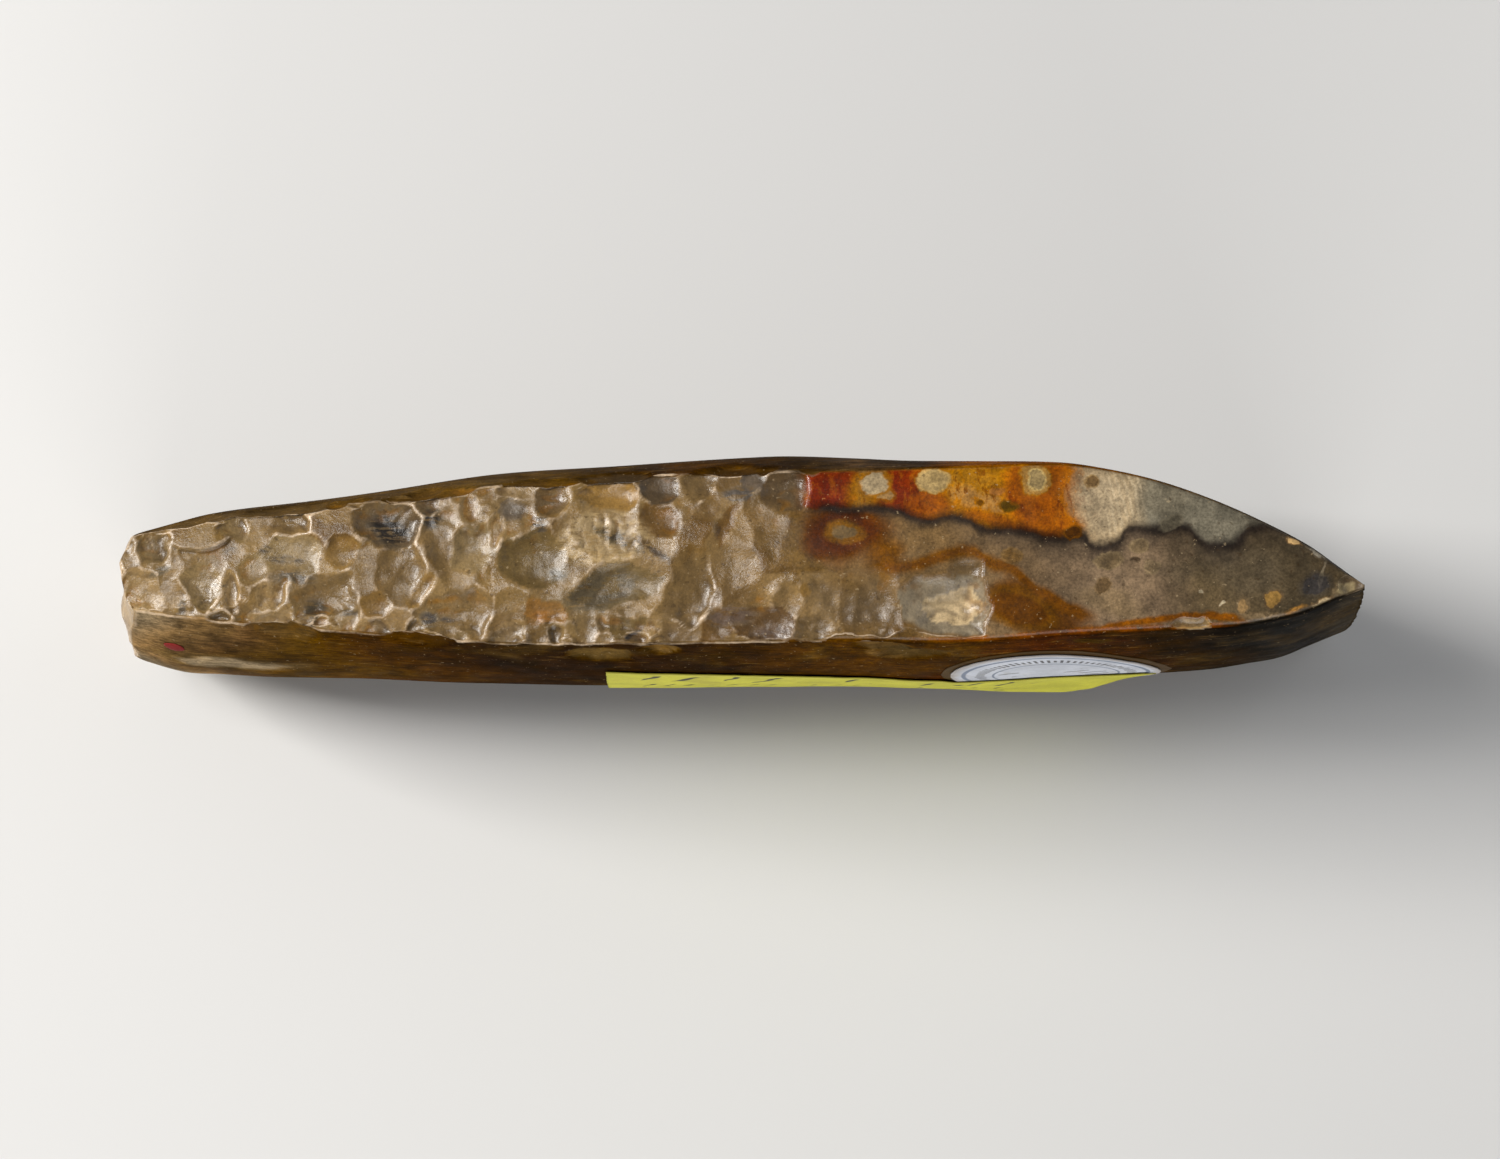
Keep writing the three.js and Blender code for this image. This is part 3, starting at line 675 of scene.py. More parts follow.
def sculpt_stone(settings):
    """The whole stone as a mesh, with its tones, its crests and the faces that its places belong to."""
    bm = cut_block()
    mesh = bpy.data.meshes.new("flint_stone")
    bm.to_mesh(mesh)
    bm.free()
    raw = read_places(mesh) + 0.5
    shares = np.stack([
        denser_ends(raw[:, 0], END_CROWDING),
        denser_ends(raw[:, 1], MARGIN_CROWDING),
        denser_ends(raw[:, 2], MARGIN_CROWDING),
    ], axis=-1)
    shares, facing = round_block(shares, settings)
    places = stone_point(shares[:, 0], shares[:, 1], shares[:, 2])

    slow = wobble(places, SLOW_SCALE, 1)
    quick = wobble(places, QUICK_SCALE, 2)
    fine = wobble(places, FINE_SCALE, 3)[:, 0]
    warp = SLOW_BEND * slow + QUICK_BEND * quick + FINE_BEND * wobble(places, FINE_SCALE, 7)
    crumple = QUICK_CRUMPLE * quick[:, 1] + (FINE_CRUMPLE + rough_patch(places)) * fine
    moved = places + 0.5 * quick
    small, _ = lasting_scars(moved, (0, 1), SMALL_FLAKE_SIZE, SMALL_FLAKE_STRETCH, 9)
    patchy = smooth_step(-0.05, 0.3, wobble(places, PATCH_SCALE, 6)[:, 0])
    patchy = np.maximum(patchy, smooth_step(-5, -9, places[:, 1]) * smooth_step(84, 70, places[:, 0]))
    crumple = crumple + SMALL_FLAKE_HEIGHT * (small - 0.8) * patchy
    tone = np.zeros((len(places), 4))
    depth = np.zeros(len(places))
    for face, scars, lasting in faces_to_knap():
        cut = knap(places, face, scars, warp, tone, crumple, lasting)
        depth = np.maximum(depth, cut)
    places[:, 1] = np.minimum(places[:, 1], crown_height())
    places[:, 2] = np.maximum(places[:, 2], 0)
    nicks = np.maximum(wobble(places * (0, 0, 1), 1.1, 4)[:, 0], 0)
    places[:, 0] -= 0.5 * nicks * smooth_step(0.985, 1, shares[:, 0])

    write_places(mesh, places)
    weights = np.stack([
        np.maximum(facing[:, 2], 0) ** 2,
        np.maximum(-facing[:, 2], 0) ** 2,
        np.maximum(-facing[:, 1], 0) ** 2,
        np.maximum(facing[:, 1], 0) ** 2,
    ], axis=-1)
    store(mesh, "face_shares", "FLOAT_COLOR", weights)
    names = ("upper_tone", "ground_tone", "stain_tone")
    for name, tones in zip(names, stone_tones(places, weights, slow, quick)):
        store(mesh, name, "FLOAT_COLOR", tones)
    crest, pairs = crest_of(mesh, places)
    crest = spread_out(np.clip(crest, -1.5, 1.5), pairs, 1)
    store(mesh, "crest", "FLOAT", crest)
    store(mesh, "scar_depth", "FLOAT", depth)
    store(mesh, "scar_tone", "FLOAT_COLOR", tone)
    write_places(mesh, (places + OFFSET) * MM)
    return mesh


# Where the near side lies in the photograph, in its columns and rows.
PIXELS_PER_MM = 7.42
BUTT_COLUMN = 118
MIDDLE_ROW = 564.8
MIDDLE_ROW_FALL = 0.0066


def near_place(column, row):
    """Place along the stone and height across its near side of a pixel of the photograph."""
    along = column - BUTT_COLUMN
    middle = MIDDLE_ROW - MIDDLE_ROW_FALL * along
    return along / PIXELS_PER_MM, (middle - row) / PIXELS_PER_MM


# Veins and bands of the ground part of the near side: columns and rows read off the photograph.
VEIN = [
    (807, 507), (836, 510), (880, 510), (900, 513), (916, 519), (932, 522), (948, 519), (970, 522),
    (980, 528), (996, 531), (1015, 530), (1043, 538), (1060, 541), (1084, 539), (1093, 547),
    (1108, 547), (1121, 542), (1133, 528), (1149, 530), (1181, 528), (1191, 531), (1200, 539),
    (1213, 546), (1226, 547), (1239, 543), (1253, 529), (1292, 525),
]
ORANGE_BAND = [
    (888, 569), (900, 568), (924, 564), (956, 554), (969, 551), (980, 555), (989, 563), (1012, 568),
    (1024, 578), (1035, 590), (1051, 597), (1080, 614), (1100, 617),
]
LOWER_LINE = [
    (1068, 637), (1080, 633), (1107, 627), (1140, 622), (1172, 618), (1210, 616), (1247, 623),
]

# Colours along the stone: above the vein, below it, on the labelled face and on the plain face.
UPPER_TONES = [
    (88, "grey_brown"), (92, "rust_red"), (99, "rust_red"), (101, "tan"), (105, "rust_red"),
    (109, "rust"), (113, "tawny"), (119, "tawny"), (123, "rust"), (127, "rust"),
    (131, "pale_buff"), (136, "pale_buff"), (139, "slate"), (151, "slate"), (158, "dusk"),
]
LOWER_TONES = [
    (88, "dun"), (112, "dun"), (130, "fawn"), (140, "fawn"), (147, "drab"), (160, "dusk"),
    (168, "drab"),
]
LABEL_TONES = [
    (3, "ash"), (10, "dun"), (18, "dark_brown"), (24, "earth"), (32, "umber"), (48, "peat"),
    (76, "peat"), (94, "umber"), (112, "umber"), (125, "red_umber"), (140, "bark"), (152, "pitch"),
    (162, "pitch"), (168, "dusk"),
]
PLAIN_TONES = [
    (8, "clay"), (60, "earth"), (70, "bark"), (76, "umber"), (92, "bark"), (100, "dark_brown"),
    (108, "bark"), (116, "amber"), (126, "amber"), (140, "brown"), (152, "drab"), (162, "dusk"),
]

# Soft clouds of colour in the ground part: place, half sizes, turn, tone and how much of it.
CLOUDS = [
    (95.6, 9.0, 3.6, 3.0, 0, (120, 34, 2), 0.85), (106.0, 9.6, 2.8, 3.0, 0, (114, 32, 2), 0.8),
    (101.2, 8.6, 2.6, 3.4, 10, (150, 110, 66), 0.8), (115.5, 9.6, 5.4, 2.4, 0, (178, 134, 84), 0.7),
    (110.0, 7.2, 3.2, 1.6, 0, (148, 72, 14), 0.7), (123.6, 9.0, 4.0, 3.6, 0, (146, 76, 14), 0.8),
    (116.6, 7.6, 4.6, 1.7, -6, (176, 138, 98), 0.8), (118.5, 5.2, 5.4, 1.2, -14, (140, 68, 12), 0.65),
    (127.0, 4.8, 3.2, 1.6, -8, (148, 82, 26), 0.7),
    (133.2, 7.2, 3.4, 4.2, 0, (176, 160, 136), 0.7), (141.0, 8.2, 4.4, 3.2, 0, (122, 114, 98), 0.6),
    (98.4, 3.5, 6.8, 4.6, 0, (84, 38, 4), 1.0), (98.2, 3.5, 2.3, 1.4, 0, (116, 92, 60), 0.85),
    (104.2, -0.4, 3.0, 2.2, 30, (102, 62, 24), 0.75), (125.0, -7.6, 7.4, 3.2, -28, (88, 50, 18), 0.8),
    (120.2, -5.0, 2.4, 3.4, 0, (92, 54, 22), 0.7), (101.0, -10.4, 6.4, 1.8, 0, (96, 68, 44), 0.5),
    (133.5, -6.2, 5.0, 2.2, -15, (130, 112, 86), 0.4), (145.5, 0.2, 6.0, 3.2, 20, (90, 80, 66), 0.55),
    (152.0, -2.0, 5.0, 4.0, 0, (84, 76, 64), 0.5),
]

# Inclusions of the near side: place, half sizes, turn in degrees, tone of the middle, tone of the
# rim, how wide the rim is as a share, and how much of the tones it has.
INCLUSIONS = [
    (103.6, 8.8, 1.2, 1.0, 0, (150, 130, 100), (136, 92, 50), 0.5, 0.7),
    (165.6, -4.2, 1.7, 0.9, 25, (186, 170, 136), (112, 98, 78), 0.6, 0.85),
    (162.2, -6.1, 1.2, 0.4, 28, (200, 180, 148), (120, 100, 76), 0.6, 0.85),
    (158.6, -7.2, 1.7, 0.4, 20, (182, 140, 96), (116, 92, 64), 0.6, 0.8),
    (154.6, -8.0, 2.2, 0.4, 10, (156, 136, 110), (112, 96, 76), 0.6, 0.7),
    (151.6, -7.0, 0.7, 1.3, -10, (158, 132, 100), (112, 96, 76), 0.6, 0.7),
    (161.6, 0.4, 1.6, 0.3, -33, (160, 152, 138), (100, 90, 76), 0.5, 0.8),
]

# Inclusions read off the photograph: column and row, then as above.
PICKED_INCLUSIONS = [
    (847, 534, 2.0, 1.1, 0, (120, 104, 80), (128, 90, 48), 0.6, 0.8),
    (878, 482, 2.0, 1.6, 20, (168, 152, 126), (146, 108, 68), 0.35, 0.95),
    (937, 479, 2.2, 1.4, 8, (160, 140, 106), (184, 160, 118), 0.3, 0.9),
    (999, 491, 1.2, 0.8, 0, (164, 120, 90), (150, 102, 60), 0.4, 0.5),
    (1012, 507, 1.3, 0.7, -8, (72, 58, 30), (110, 74, 30), 0.4, 0.85),
    (980, 503, 0.5, 0.35, 0, (84, 52, 18), (130, 84, 34), 0.5, 0.7),
    (1038, 481, 2.4, 2.4, 0, (154, 128, 90), (130, 70, 16), 0.45, 0.8),
    (1038, 481, 1.1, 1.2, 0, (132, 116, 88), (182, 160, 118), 0.35, 0.9),
    (1014, 556, 1.1, 1.0, 0, (96, 74, 48), (124, 100, 70), 0.4, 0.7),
    (1111, 562, 1.8, 1.1, 8, (92, 78, 60), (128, 112, 88), 0.3, 0.7),
    (1140, 547, 1.1, 0.9, 0, (98, 84, 66), (130, 114, 90), 0.35, 0.7),
    (1136, 562, 0.45, 0.4, 0, (66, 54, 42), (96, 82, 66), 0.4, 0.8),
    (1152, 568, 1.1, 1.0, 0, (102, 88, 70), (134, 118, 94), 0.4, 0.6),
    (1103, 587, 0.95, 0.85, 0, (84, 68, 50), (112, 94, 72), 0.35, 0.8),
    (1179, 558, 2.0, 0.9, 25, (88, 76, 62), (104, 90, 74), 0.5, 0.5),
    (1074, 536, 1.0, 0.85, 0, (64, 38, 16), (104, 66, 28), 0.4, 0.85),
    (1173, 522, 1.2, 0.8, 15, (84, 78, 66), (112, 104, 88), 0.4, 0.6),
    (1199, 594, 0.4, 0.3, 0, (188, 176, 152), (128, 112, 92), 0.5, 0.8),
    (1223, 603, 0.35, 0.3, 0, (188, 176, 152), (128, 112, 92), 0.5, 0.8),
    (1094, 483, 1.2, 0.8, -20, (96, 76, 54), (140, 116, 84), 0.35, 0.8),
    (1273, 601, 1.35, 0.75, 40, (150, 122, 84), (96, 80, 62), 0.35, 0.85),
    (1323, 575, 2.1, 0.35, 70, (150, 138, 118), (84, 74, 62), 0.5, 0.6),
    (1315, 584, 2.2, 1.4, 20, (44, 44, 48), (66, 60, 52), 0.4, 0.6),
    (1293, 542, 1.0, 0.35, -25, (206, 176, 136), (120, 98, 74), 0.5, 0.9),
    (1020, 610, 4.6, 2.2, -18, (92, 54, 22), (108, 76, 44), 0.5, 0.7),
    (708, 574, 2.6, 2.0, 20, (120, 96, 66), (84, 62, 38), 0.4, 0.6),
    (764, 546, 2.4, 1.7, -10, (132, 106, 74), (96, 74, 46), 0.35, 0.6),
]

# Dark patches and stains in the knapped part of the near side, as above.
KNAPPED_STAINS = [
    (36.8, 4.9, 3.5, 2.3, -20, (36, 32, 28), (92, 80, 64), 0.5, 0.95),
    (42.4, 6.2, 1.6, 1.7, 0, (52, 47, 42), (98, 86, 68), 0.5, 0.85),
    (22.5, 0.6, 3.0, 0.6, -6, (66, 58, 48), (112, 98, 78), 0.6, 0.7),
    (23.5, -1.9, 3.4, 1.0, -4, (74, 66, 54), (118, 104, 84), 0.6, 0.7),
    (19.9, 2.2, 0.9, 0.5, 0, (62, 54, 44), (108, 94, 74), 0.6, 0.7),
    (26.6, -6.1, 2.3, 1.7, 20, (70, 62, 50), (114, 98, 78), 0.6, 0.8),
    (26.3, -8.3, 1.3, 0.7, 0, (64, 56, 46), (110, 96, 76), 0.6, 0.7),
    (31.1, -6.6, 1.4, 0.6, 0, (68, 60, 48), (112, 98, 78), 0.6, 0.7),
    (42.6, -7.4, 1.3, 1.2, 0, (72, 66, 60), (112, 100, 82), 0.6, 0.75),
    (44.8, -7.5, 1.0, 0.5, 0, (74, 68, 62), (114, 100, 82), 0.6, 0.7),
    (14.9, 2.2, 1.2, 0.5, 0, (76, 66, 54), (116, 102, 82), 0.6, 0.6),
    (5.3, -0.7, 2.0, 0.6, 25, (92, 86, 74), (120, 108, 90), 0.6, 0.6),
    (8.2, -5.1, 0.6, 1.1, 0, (70, 64, 56), (112, 100, 82), 0.6, 0.6),
    (13.2, -2.6, 1.3, 0.4, -10, (74, 64, 52), (114, 100, 80), 0.6, 0.6),
    (66.0, -4.0, 6.0, 2.6, 16, (88, 80, 66), (110, 98, 78), 0.4, 0.6),
    (66.0, 3.1, 6.0, 3.6, 4, (168, 148, 118), (182, 160, 126), 0.3, 0.85),
    (68.0, 3.0, 3.4, 0.8, -22, (70, 62, 50), (104, 92, 72), 0.6, 0.8),
    (57.0, 5.1, 1.4, 1.2, 0, (58, 52, 46), (98, 86, 70), 0.6, 0.8),
    (53.5, 7.0, 2.0, 1.5, 0, (104, 94, 82), (122, 106, 84), 0.5, 0.7),
    (57.7, -7.6, 2.2, 1.1, 8, (164, 122, 84), (134, 104, 74), 0.5, 0.6),
    (66.9, -8.0, 1.7, 0.7, -10, (148, 112, 78), (126, 98, 70), 0.5, 0.4),
    (72.9, 1.6, 3.0, 0.6, -38, (60, 50, 40), (98, 80, 58), 0.6, 0.7),
    (59.6, -1.3, 1.5, 1.0, 0, (96, 92, 82), (116, 104, 84), 0.6, 0.7),
    (84.4, 8.9, 2.6, 1.1, 0, (84, 78, 72), (112, 98, 80), 0.5, 0.7),
    (69.8, -10.2, 2.1, 0.4, 35, (40, 32, 24), (86, 70, 52), 0.6, 0.8),
    (83.1, -7.7, 4.0, 1.3, 0, (98, 84, 74), (114, 98, 80), 0.5, 0.7),
    (88.9, -10.0, 3.0, 1.2, 0, (102, 88, 78), (118, 100, 82), 0.5, 0.7),
]

# How much lighter than their tables the broad faces are.
LABEL_GAIN = 1.2
PLAIN_GAIN = 0.85

# The tone of the broad faces far from the near side.
EVEN_TONE = (66, 49, 28)

# Streaks and stains of the labelled face: place along and height, then as above.
LABEL_STAINS = [
    (14.5, 31.2, 9.0, 2.8, 0, (164, 148, 124), (112, 92, 64), 0.5, 0.9),
    (64.9, 46.3, 3.5, 3.2, 0, (142, 114, 76), (92, 68, 38), 0.3, 0.9),
    (73.2, 49.2, 2.4, 2.3, 0, (166, 134, 92), (96, 70, 38), 0.3, 0.9),
    (104.6, 49.8, 4.8, 4.4, -4, (118, 94, 64), (76, 50, 22), 0.4, 0.85),
    (95.2, 52.2, 2.6, 1.6, 0, (84, 58, 28), (60, 38, 14), 0.5, 0.7),
    (103.2, 50.2, 3.0, 0.7, -12, (128, 104, 72), (72, 48, 22), 0.4, 0.7),
    (106.9, 51.0, 2.0, 1.4, 0, (48, 42, 22), (58, 36, 14), 0.5, 0.7),
    (132.5, 52.8, 3.0, 1.6, 0, (84, 66, 36), (66, 34, 12), 0.5, 0.7),
    (161.5, 50.0, 3.4, 4.6, 0, (17, 16, 14), (30, 26, 18), 0.4, 0.8),
    (126.0, 22.0, 7.0, 5.0, 30, (84, 46, 16), (62, 32, 10), 0.5, 0.5),
    (148.0, 34.0, 5.0, 7.0, -20, (78, 62, 38), (58, 40, 20), 0.5, 0.5),
]

# Colours along the far narrow side.
FAR_TONES = [
    (0, "pale_buff"), (40, "beige_grey"), (86, "orange_brown"), (120, "brown"), (140, "dun"),
    (156, "drab"), (168, "dusk"),
]


def tones_along(table, x):
    """Colours at places along the stone, from rows of place and the name of a tone."""
    stops = [row[0] for row in table]
    tones = np.array([to_linear(TONES[row[1]]) for row in table])
    return np.stack([np.interp(x, stops, tones[:, part]) for part in range(3)], axis=-1)


def from_blot(x, y, row):
    """How far places lie from the middle of an oval blot: 1 is its rim."""
    middle_x, middle_y, half_x, half_y, turn = row[:5]
    cos, sin = math.cos(math.radians(turn)), math.sin(math.radians(turn))
    over = ((x - middle_x) * cos + (y - middle_y) * sin) / half_x
    beside = ((y - middle_y) * cos - (x - middle_x) * sin) / half_y
    return np.hypot(over, beside)


def lay_tone(colour, share, tone):
    return colour + (np.array(to_linear(tone)) - colour) * share[:, None]


def stone_tones(places, weights, slow, quick):
    """Colours of the near side above its vein, of everything else, and of the knapped stains."""
    x, y, z = (places + 1.6 * slow + 0.6 * quick).T
    upper = tones_along(UPPER_TONES, x)
    ground = tones_along(LOWER_TONES, x)
    for row in CLOUDS:
        share = row[6] * smooth_step(1.25, 0.5, from_blot(x, y, row))
        if row[1] > 4.6:
            upper = lay_tone(upper, share, row[5])
        else:
            ground = lay_tone(ground, share, row[5])
    # Away from the near margins, the tones of the broad faces drift along them and even out.
    below = width_at(x / LENGTH) - z
    flow = x + 26 * wobble(places, 30.0, 5)[:, 0] * smooth_step(46, 26, places[:, 2])
    label = LABEL_GAIN * tones_along(LABEL_TONES, flow)
    label = lay_tone(label, 0.65 * smooth_step(26, 44, below), EVEN_TONE)
    for row in LABEL_STAINS:
        distance = from_blot(x, z, row)
        label = lay_tone(label, row[8] * smooth_step(1 + row[7], 1, distance), row[6])
        label = lay_tone(label, row[8] * smooth_step(1, 1 - row[7] * 0.6, distance), row[5])
    plain = PLAIN_GAIN * tones_along(PLAIN_TONES, flow)
    plain = lay_tone(plain, 0.85 * smooth_step(5, 26, below), EVEN_TONE)
    for part, tones in ((2, label), (3, plain), (1, tones_along(FAR_TONES, x))):
        share = smooth_step(0.25, 0.75, weights[:, part])
        ground = ground + (tones - ground) * share[:, None]
    x, y, z = (places + 0.6 * slow + 0.3 * quick).T
    colour = np.tile(to_linear(TONES["olive_brown"]), (len(places), 1))
    stained = np.zeros(len(places))
    for row in KNAPPED_STAINS:
        distance = from_blot(x, y, row)
        colour = lay_tone(colour, smooth_step(1.3, 1.1, distance), row[6])
        colour = lay_tone(colour, smooth_step(1, 1 - row[7], distance), row[5])
        stained = np.maximum(stained, smooth_step(1.2, 0.8, distance) * min(1.3 * row[8], 1))
    full = np.ones((len(places), 1))
    return np.hstack([upper, full]), np.hstack([ground, full]), np.hstack([colour, stained[:, None]])


def paint(tone):
    """A colour of 255 for a shader socket."""
    return tuple(to_linear(tone)) + (1.0,)


class Tree:
    """Adds nodes to one shader tree and joins them."""

    def __init__(self, tree):
        self.nodes = tree.nodes
        self.links = tree.links

    def add(self, kind, **settings):
        node = self.nodes.new(kind)
        for name, value in settings.items():
            setattr(node, name, value)
        return node

    def feed(self, socket, value):
        if isinstance(value, bpy.types.NodeSocket):
            self.links.new(value, socket)
        else:
            socket.default_value = value

    def sum(self, operation, *values):
        node = self.add("ShaderNodeMath", operation=operation)
        for socket, value in zip(node.inputs, values):
            self.feed(socket, value)
        return node.outputs[0]

    def vector(self, operation, *values):
        node = self.add("ShaderNodeVectorMath", operation=operation)
        for socket, value in zip(node.inputs, values):
            self.feed(socket, value)
        return node.outputs["Value" if operation == "LENGTH" else "Vector"]

    def scaled(self, place, factor):
        node = self.add("ShaderNodeVectorMath", operation="SCALE")
        self.feed(node.inputs[0], place)
        self.feed(node.inputs["Scale"], factor)
        return node.outputs[0]

    def apart(self, place):
        node = self.add("ShaderNodeSeparateXYZ")
        self.feed(node.inputs[0], place)
        return node.outputs[0], node.outputs[1], node.outputs[2]

    def together(self, x, y, z):
        node = self.add("ShaderNodeCombineXYZ")
        for socket, value in zip(node.inputs, (x, y, z)):
            self.feed(socket, value)
        return node.outputs[0]

    def step(self, value, low, high, start=0.0, end=1.0):
        """A soft step: start where the value is at low, end where it is at high."""
        node = self.add("ShaderNodeMapRange", interpolation_type="SMOOTHSTEP")
        for socket, given in zip(node.inputs, (value, low, high, start, end)):
            self.feed(socket, given)
        return node.outputs[0]

    def mix(self, share, low, high, kind="MIX"):
        node = self.add("ShaderNodeMix", data_type="RGBA", blend_type=kind)
        for at, value in ((0, share), (6, low), (7, high)):
            self.feed(node.inputs[at], value)
        return node.outputs[2]

    def noise(self, place, size, detail=2.0, rough=0.5, output=0):
        """Soft noise with patches of about that size in millimetres."""
        node = self.add("ShaderNodeTexNoise")
        self.feed(node.inputs["Vector"], place)
        self.feed(node.inputs["Scale"], 1 / size)
        self.feed(node.inputs["Detail"], detail)
        self.feed(node.inputs["Roughness"], rough)
        return node.outputs[output]

    def line(self, along, points):
        """The height of a line of listed pixels at a place along the stone."""
        points = [near_place(*point) for point in points]
        first, last = points[0][0], points[-1][0]
        share = self.add("ShaderNodeMapRange")
        for socket, given in zip(share.inputs, (along, first, last, 0.0, 1.0)):
            self.feed(socket, given)
        node = self.add("ShaderNodeFloatCurve")
        curve = node.mapping.curves[0]
        heights = [(y + LINE_REACH) / (2 * LINE_REACH) for _, y in points]
        curve.points[0].location = (0.0, heights[0])
        curve.points[1].location = (1.0, heights[-1])
        for (x, _), height in list(zip(points, heights))[1:-1]:
            curve.points.new((x - first) / (last - first), height)
        node.mapping.update()
        self.links.new(share.outputs[0], node.inputs["Value"])
        return self.sum("MULTIPLY_ADD", node.outputs[0], 2 * LINE_REACH, -LINE_REACH)

    def group(self, tree, **values):
        node = self.add("ShaderNodeGroup", node_tree=tree)
        for name, value in values.items():
            self.feed(node.inputs[name.replace("_", " ").capitalize()], value)
        return node


# Lines of the near side lie within this height of the middle.
LINE_REACH = 13.0


def new_group(name, inputs, outputs):
    """An empty shader node group, with the nodes for its inputs and outputs."""
    group = bpy.data.node_groups.new(name, "ShaderNodeTree")
    for label, kind in inputs:
        group.interface.new_socket(label, in_out="INPUT", socket_type=kind)
    for label, kind in outputs:
        group.interface.new_socket(label, in_out="OUTPUT", socket_type=kind)
    tree = Tree(group)
    return group, tree, tree.add("NodeGroupInput").outputs, tree.add("NodeGroupOutput").inputs


def blot_group():
    """How far a place lies from the middle of an oval blot: 1 is its rim."""
    inputs = [
        ("Place", "NodeSocketVector"), ("Middle", "NodeSocketVector"),
        ("Half", "NodeSocketVector"), ("Turn", "NodeSocketFloat"),
    ]
    group, tree, given, result = new_group("Oval blot", inputs, [("Distance", "NodeSocketFloat")])
    run = tree.vector("SUBTRACT", given["Place"], given["Middle"])
    turned = tree.add("ShaderNodeVectorRotate", rotation_type="Z_AXIS")
    tree.feed(turned.inputs["Vector"], run)
    tree.feed(turned.inputs["Angle"], tree.sum("MULTIPLY", given["Turn"], -1.0))
    share = tree.vector("DIVIDE", turned.outputs[0], given["Half"])
    tree.feed(result["Distance"], tree.vector("LENGTH", share))
    return group


def drift_group():
    """Moves places about with noise, so that drawn shapes get natural edges."""
    inputs = [("Place", "NodeSocketVector"), ("Reach", "NodeSocketFloat")]
    group, tree, given, result = new_group("Natural edges", inputs, [("Place", "NodeSocketVector")])
    moved = given["Place"]
    for size, amount in ((5.0, 1.5), (1.5, 1.0), (0.5, 0.35)):
        swing = tree.noise(given["Place"], size, 1.0, 0.5, 1)
        centred = tree.vector("SUBTRACT", swing, (0.5, 0.5, 0.5))
        scaled = tree.scaled(centred, tree.sum("MULTIPLY", given["Reach"], amount))
        moved = tree.vector("ADD", moved, scaled)
    tree.feed(result["Place"], moved)
    return group


def grain_group():
    """The grain of flint: a light factor, dark specks, pale specks and a fine height."""
    outputs = [(name, "NodeSocketFloat") for name in ("Light", "Dark", "Pale", "Height")]
    inputs = [("Place", "NodeSocketVector")]
    group, tree, given, result = new_group("Flint grain", inputs, outputs)
    place = given["Place"]
    broad = tree.step(tree.noise(place, 9.0, 3.0, 0.55), 0.3, 0.7, 0.78, 1.2)
    small = tree.step(tree.noise(place, 1.9, 4.0, 0.65), 0.3, 0.7, 0.7, 1.28)
    fine = tree.step(tree.noise(place, 0.35, 2.0, 0.6), 0.3, 0.7, 0.78, 1.22)
    tree.feed(result["Light"], tree.sum("MULTIPLY", tree.sum("MULTIPLY", broad, small), fine))
    tree.feed(result["Dark"], tree.step(tree.noise(place, 0.8, 2.0, 0.5), 0.66, 0.72))
    pale = tree.noise(tree.vector("ADD", place, (40.0, 9.0, 3.0)), 0.6, 2.0, 0.5)
    tree.feed(result["Pale"], tree.step(pale, 0.68, 0.74))
    tree.feed(result["Height"], tree.noise(place, 0.5, 4.0, 0.6))
    return group


def lay_blots(tree, colour, place, rows, blot):
    """Lays a table of blots with rims over a colour."""
    for x, y, half_x, half_y, turn, middle, rim, rim_share, amount in rows:
        node = tree.group(
            blot, place=place, middle=(x, y, 0.0), half=(half_x, half_y, 1.0),
            turn=math.radians(turn),
        )
        distance = node.outputs[0]
        ring = tree.step(distance, 1 + rim_share, 1.0, 0.0, amount)
        colour = tree.mix(ring, colour, paint(rim))
        core = tree.step(distance, 1.0, 1 - rim_share * 0.6, 0.0, amount)
        colour = tree.mix(core, colour, paint(middle))
    return colour


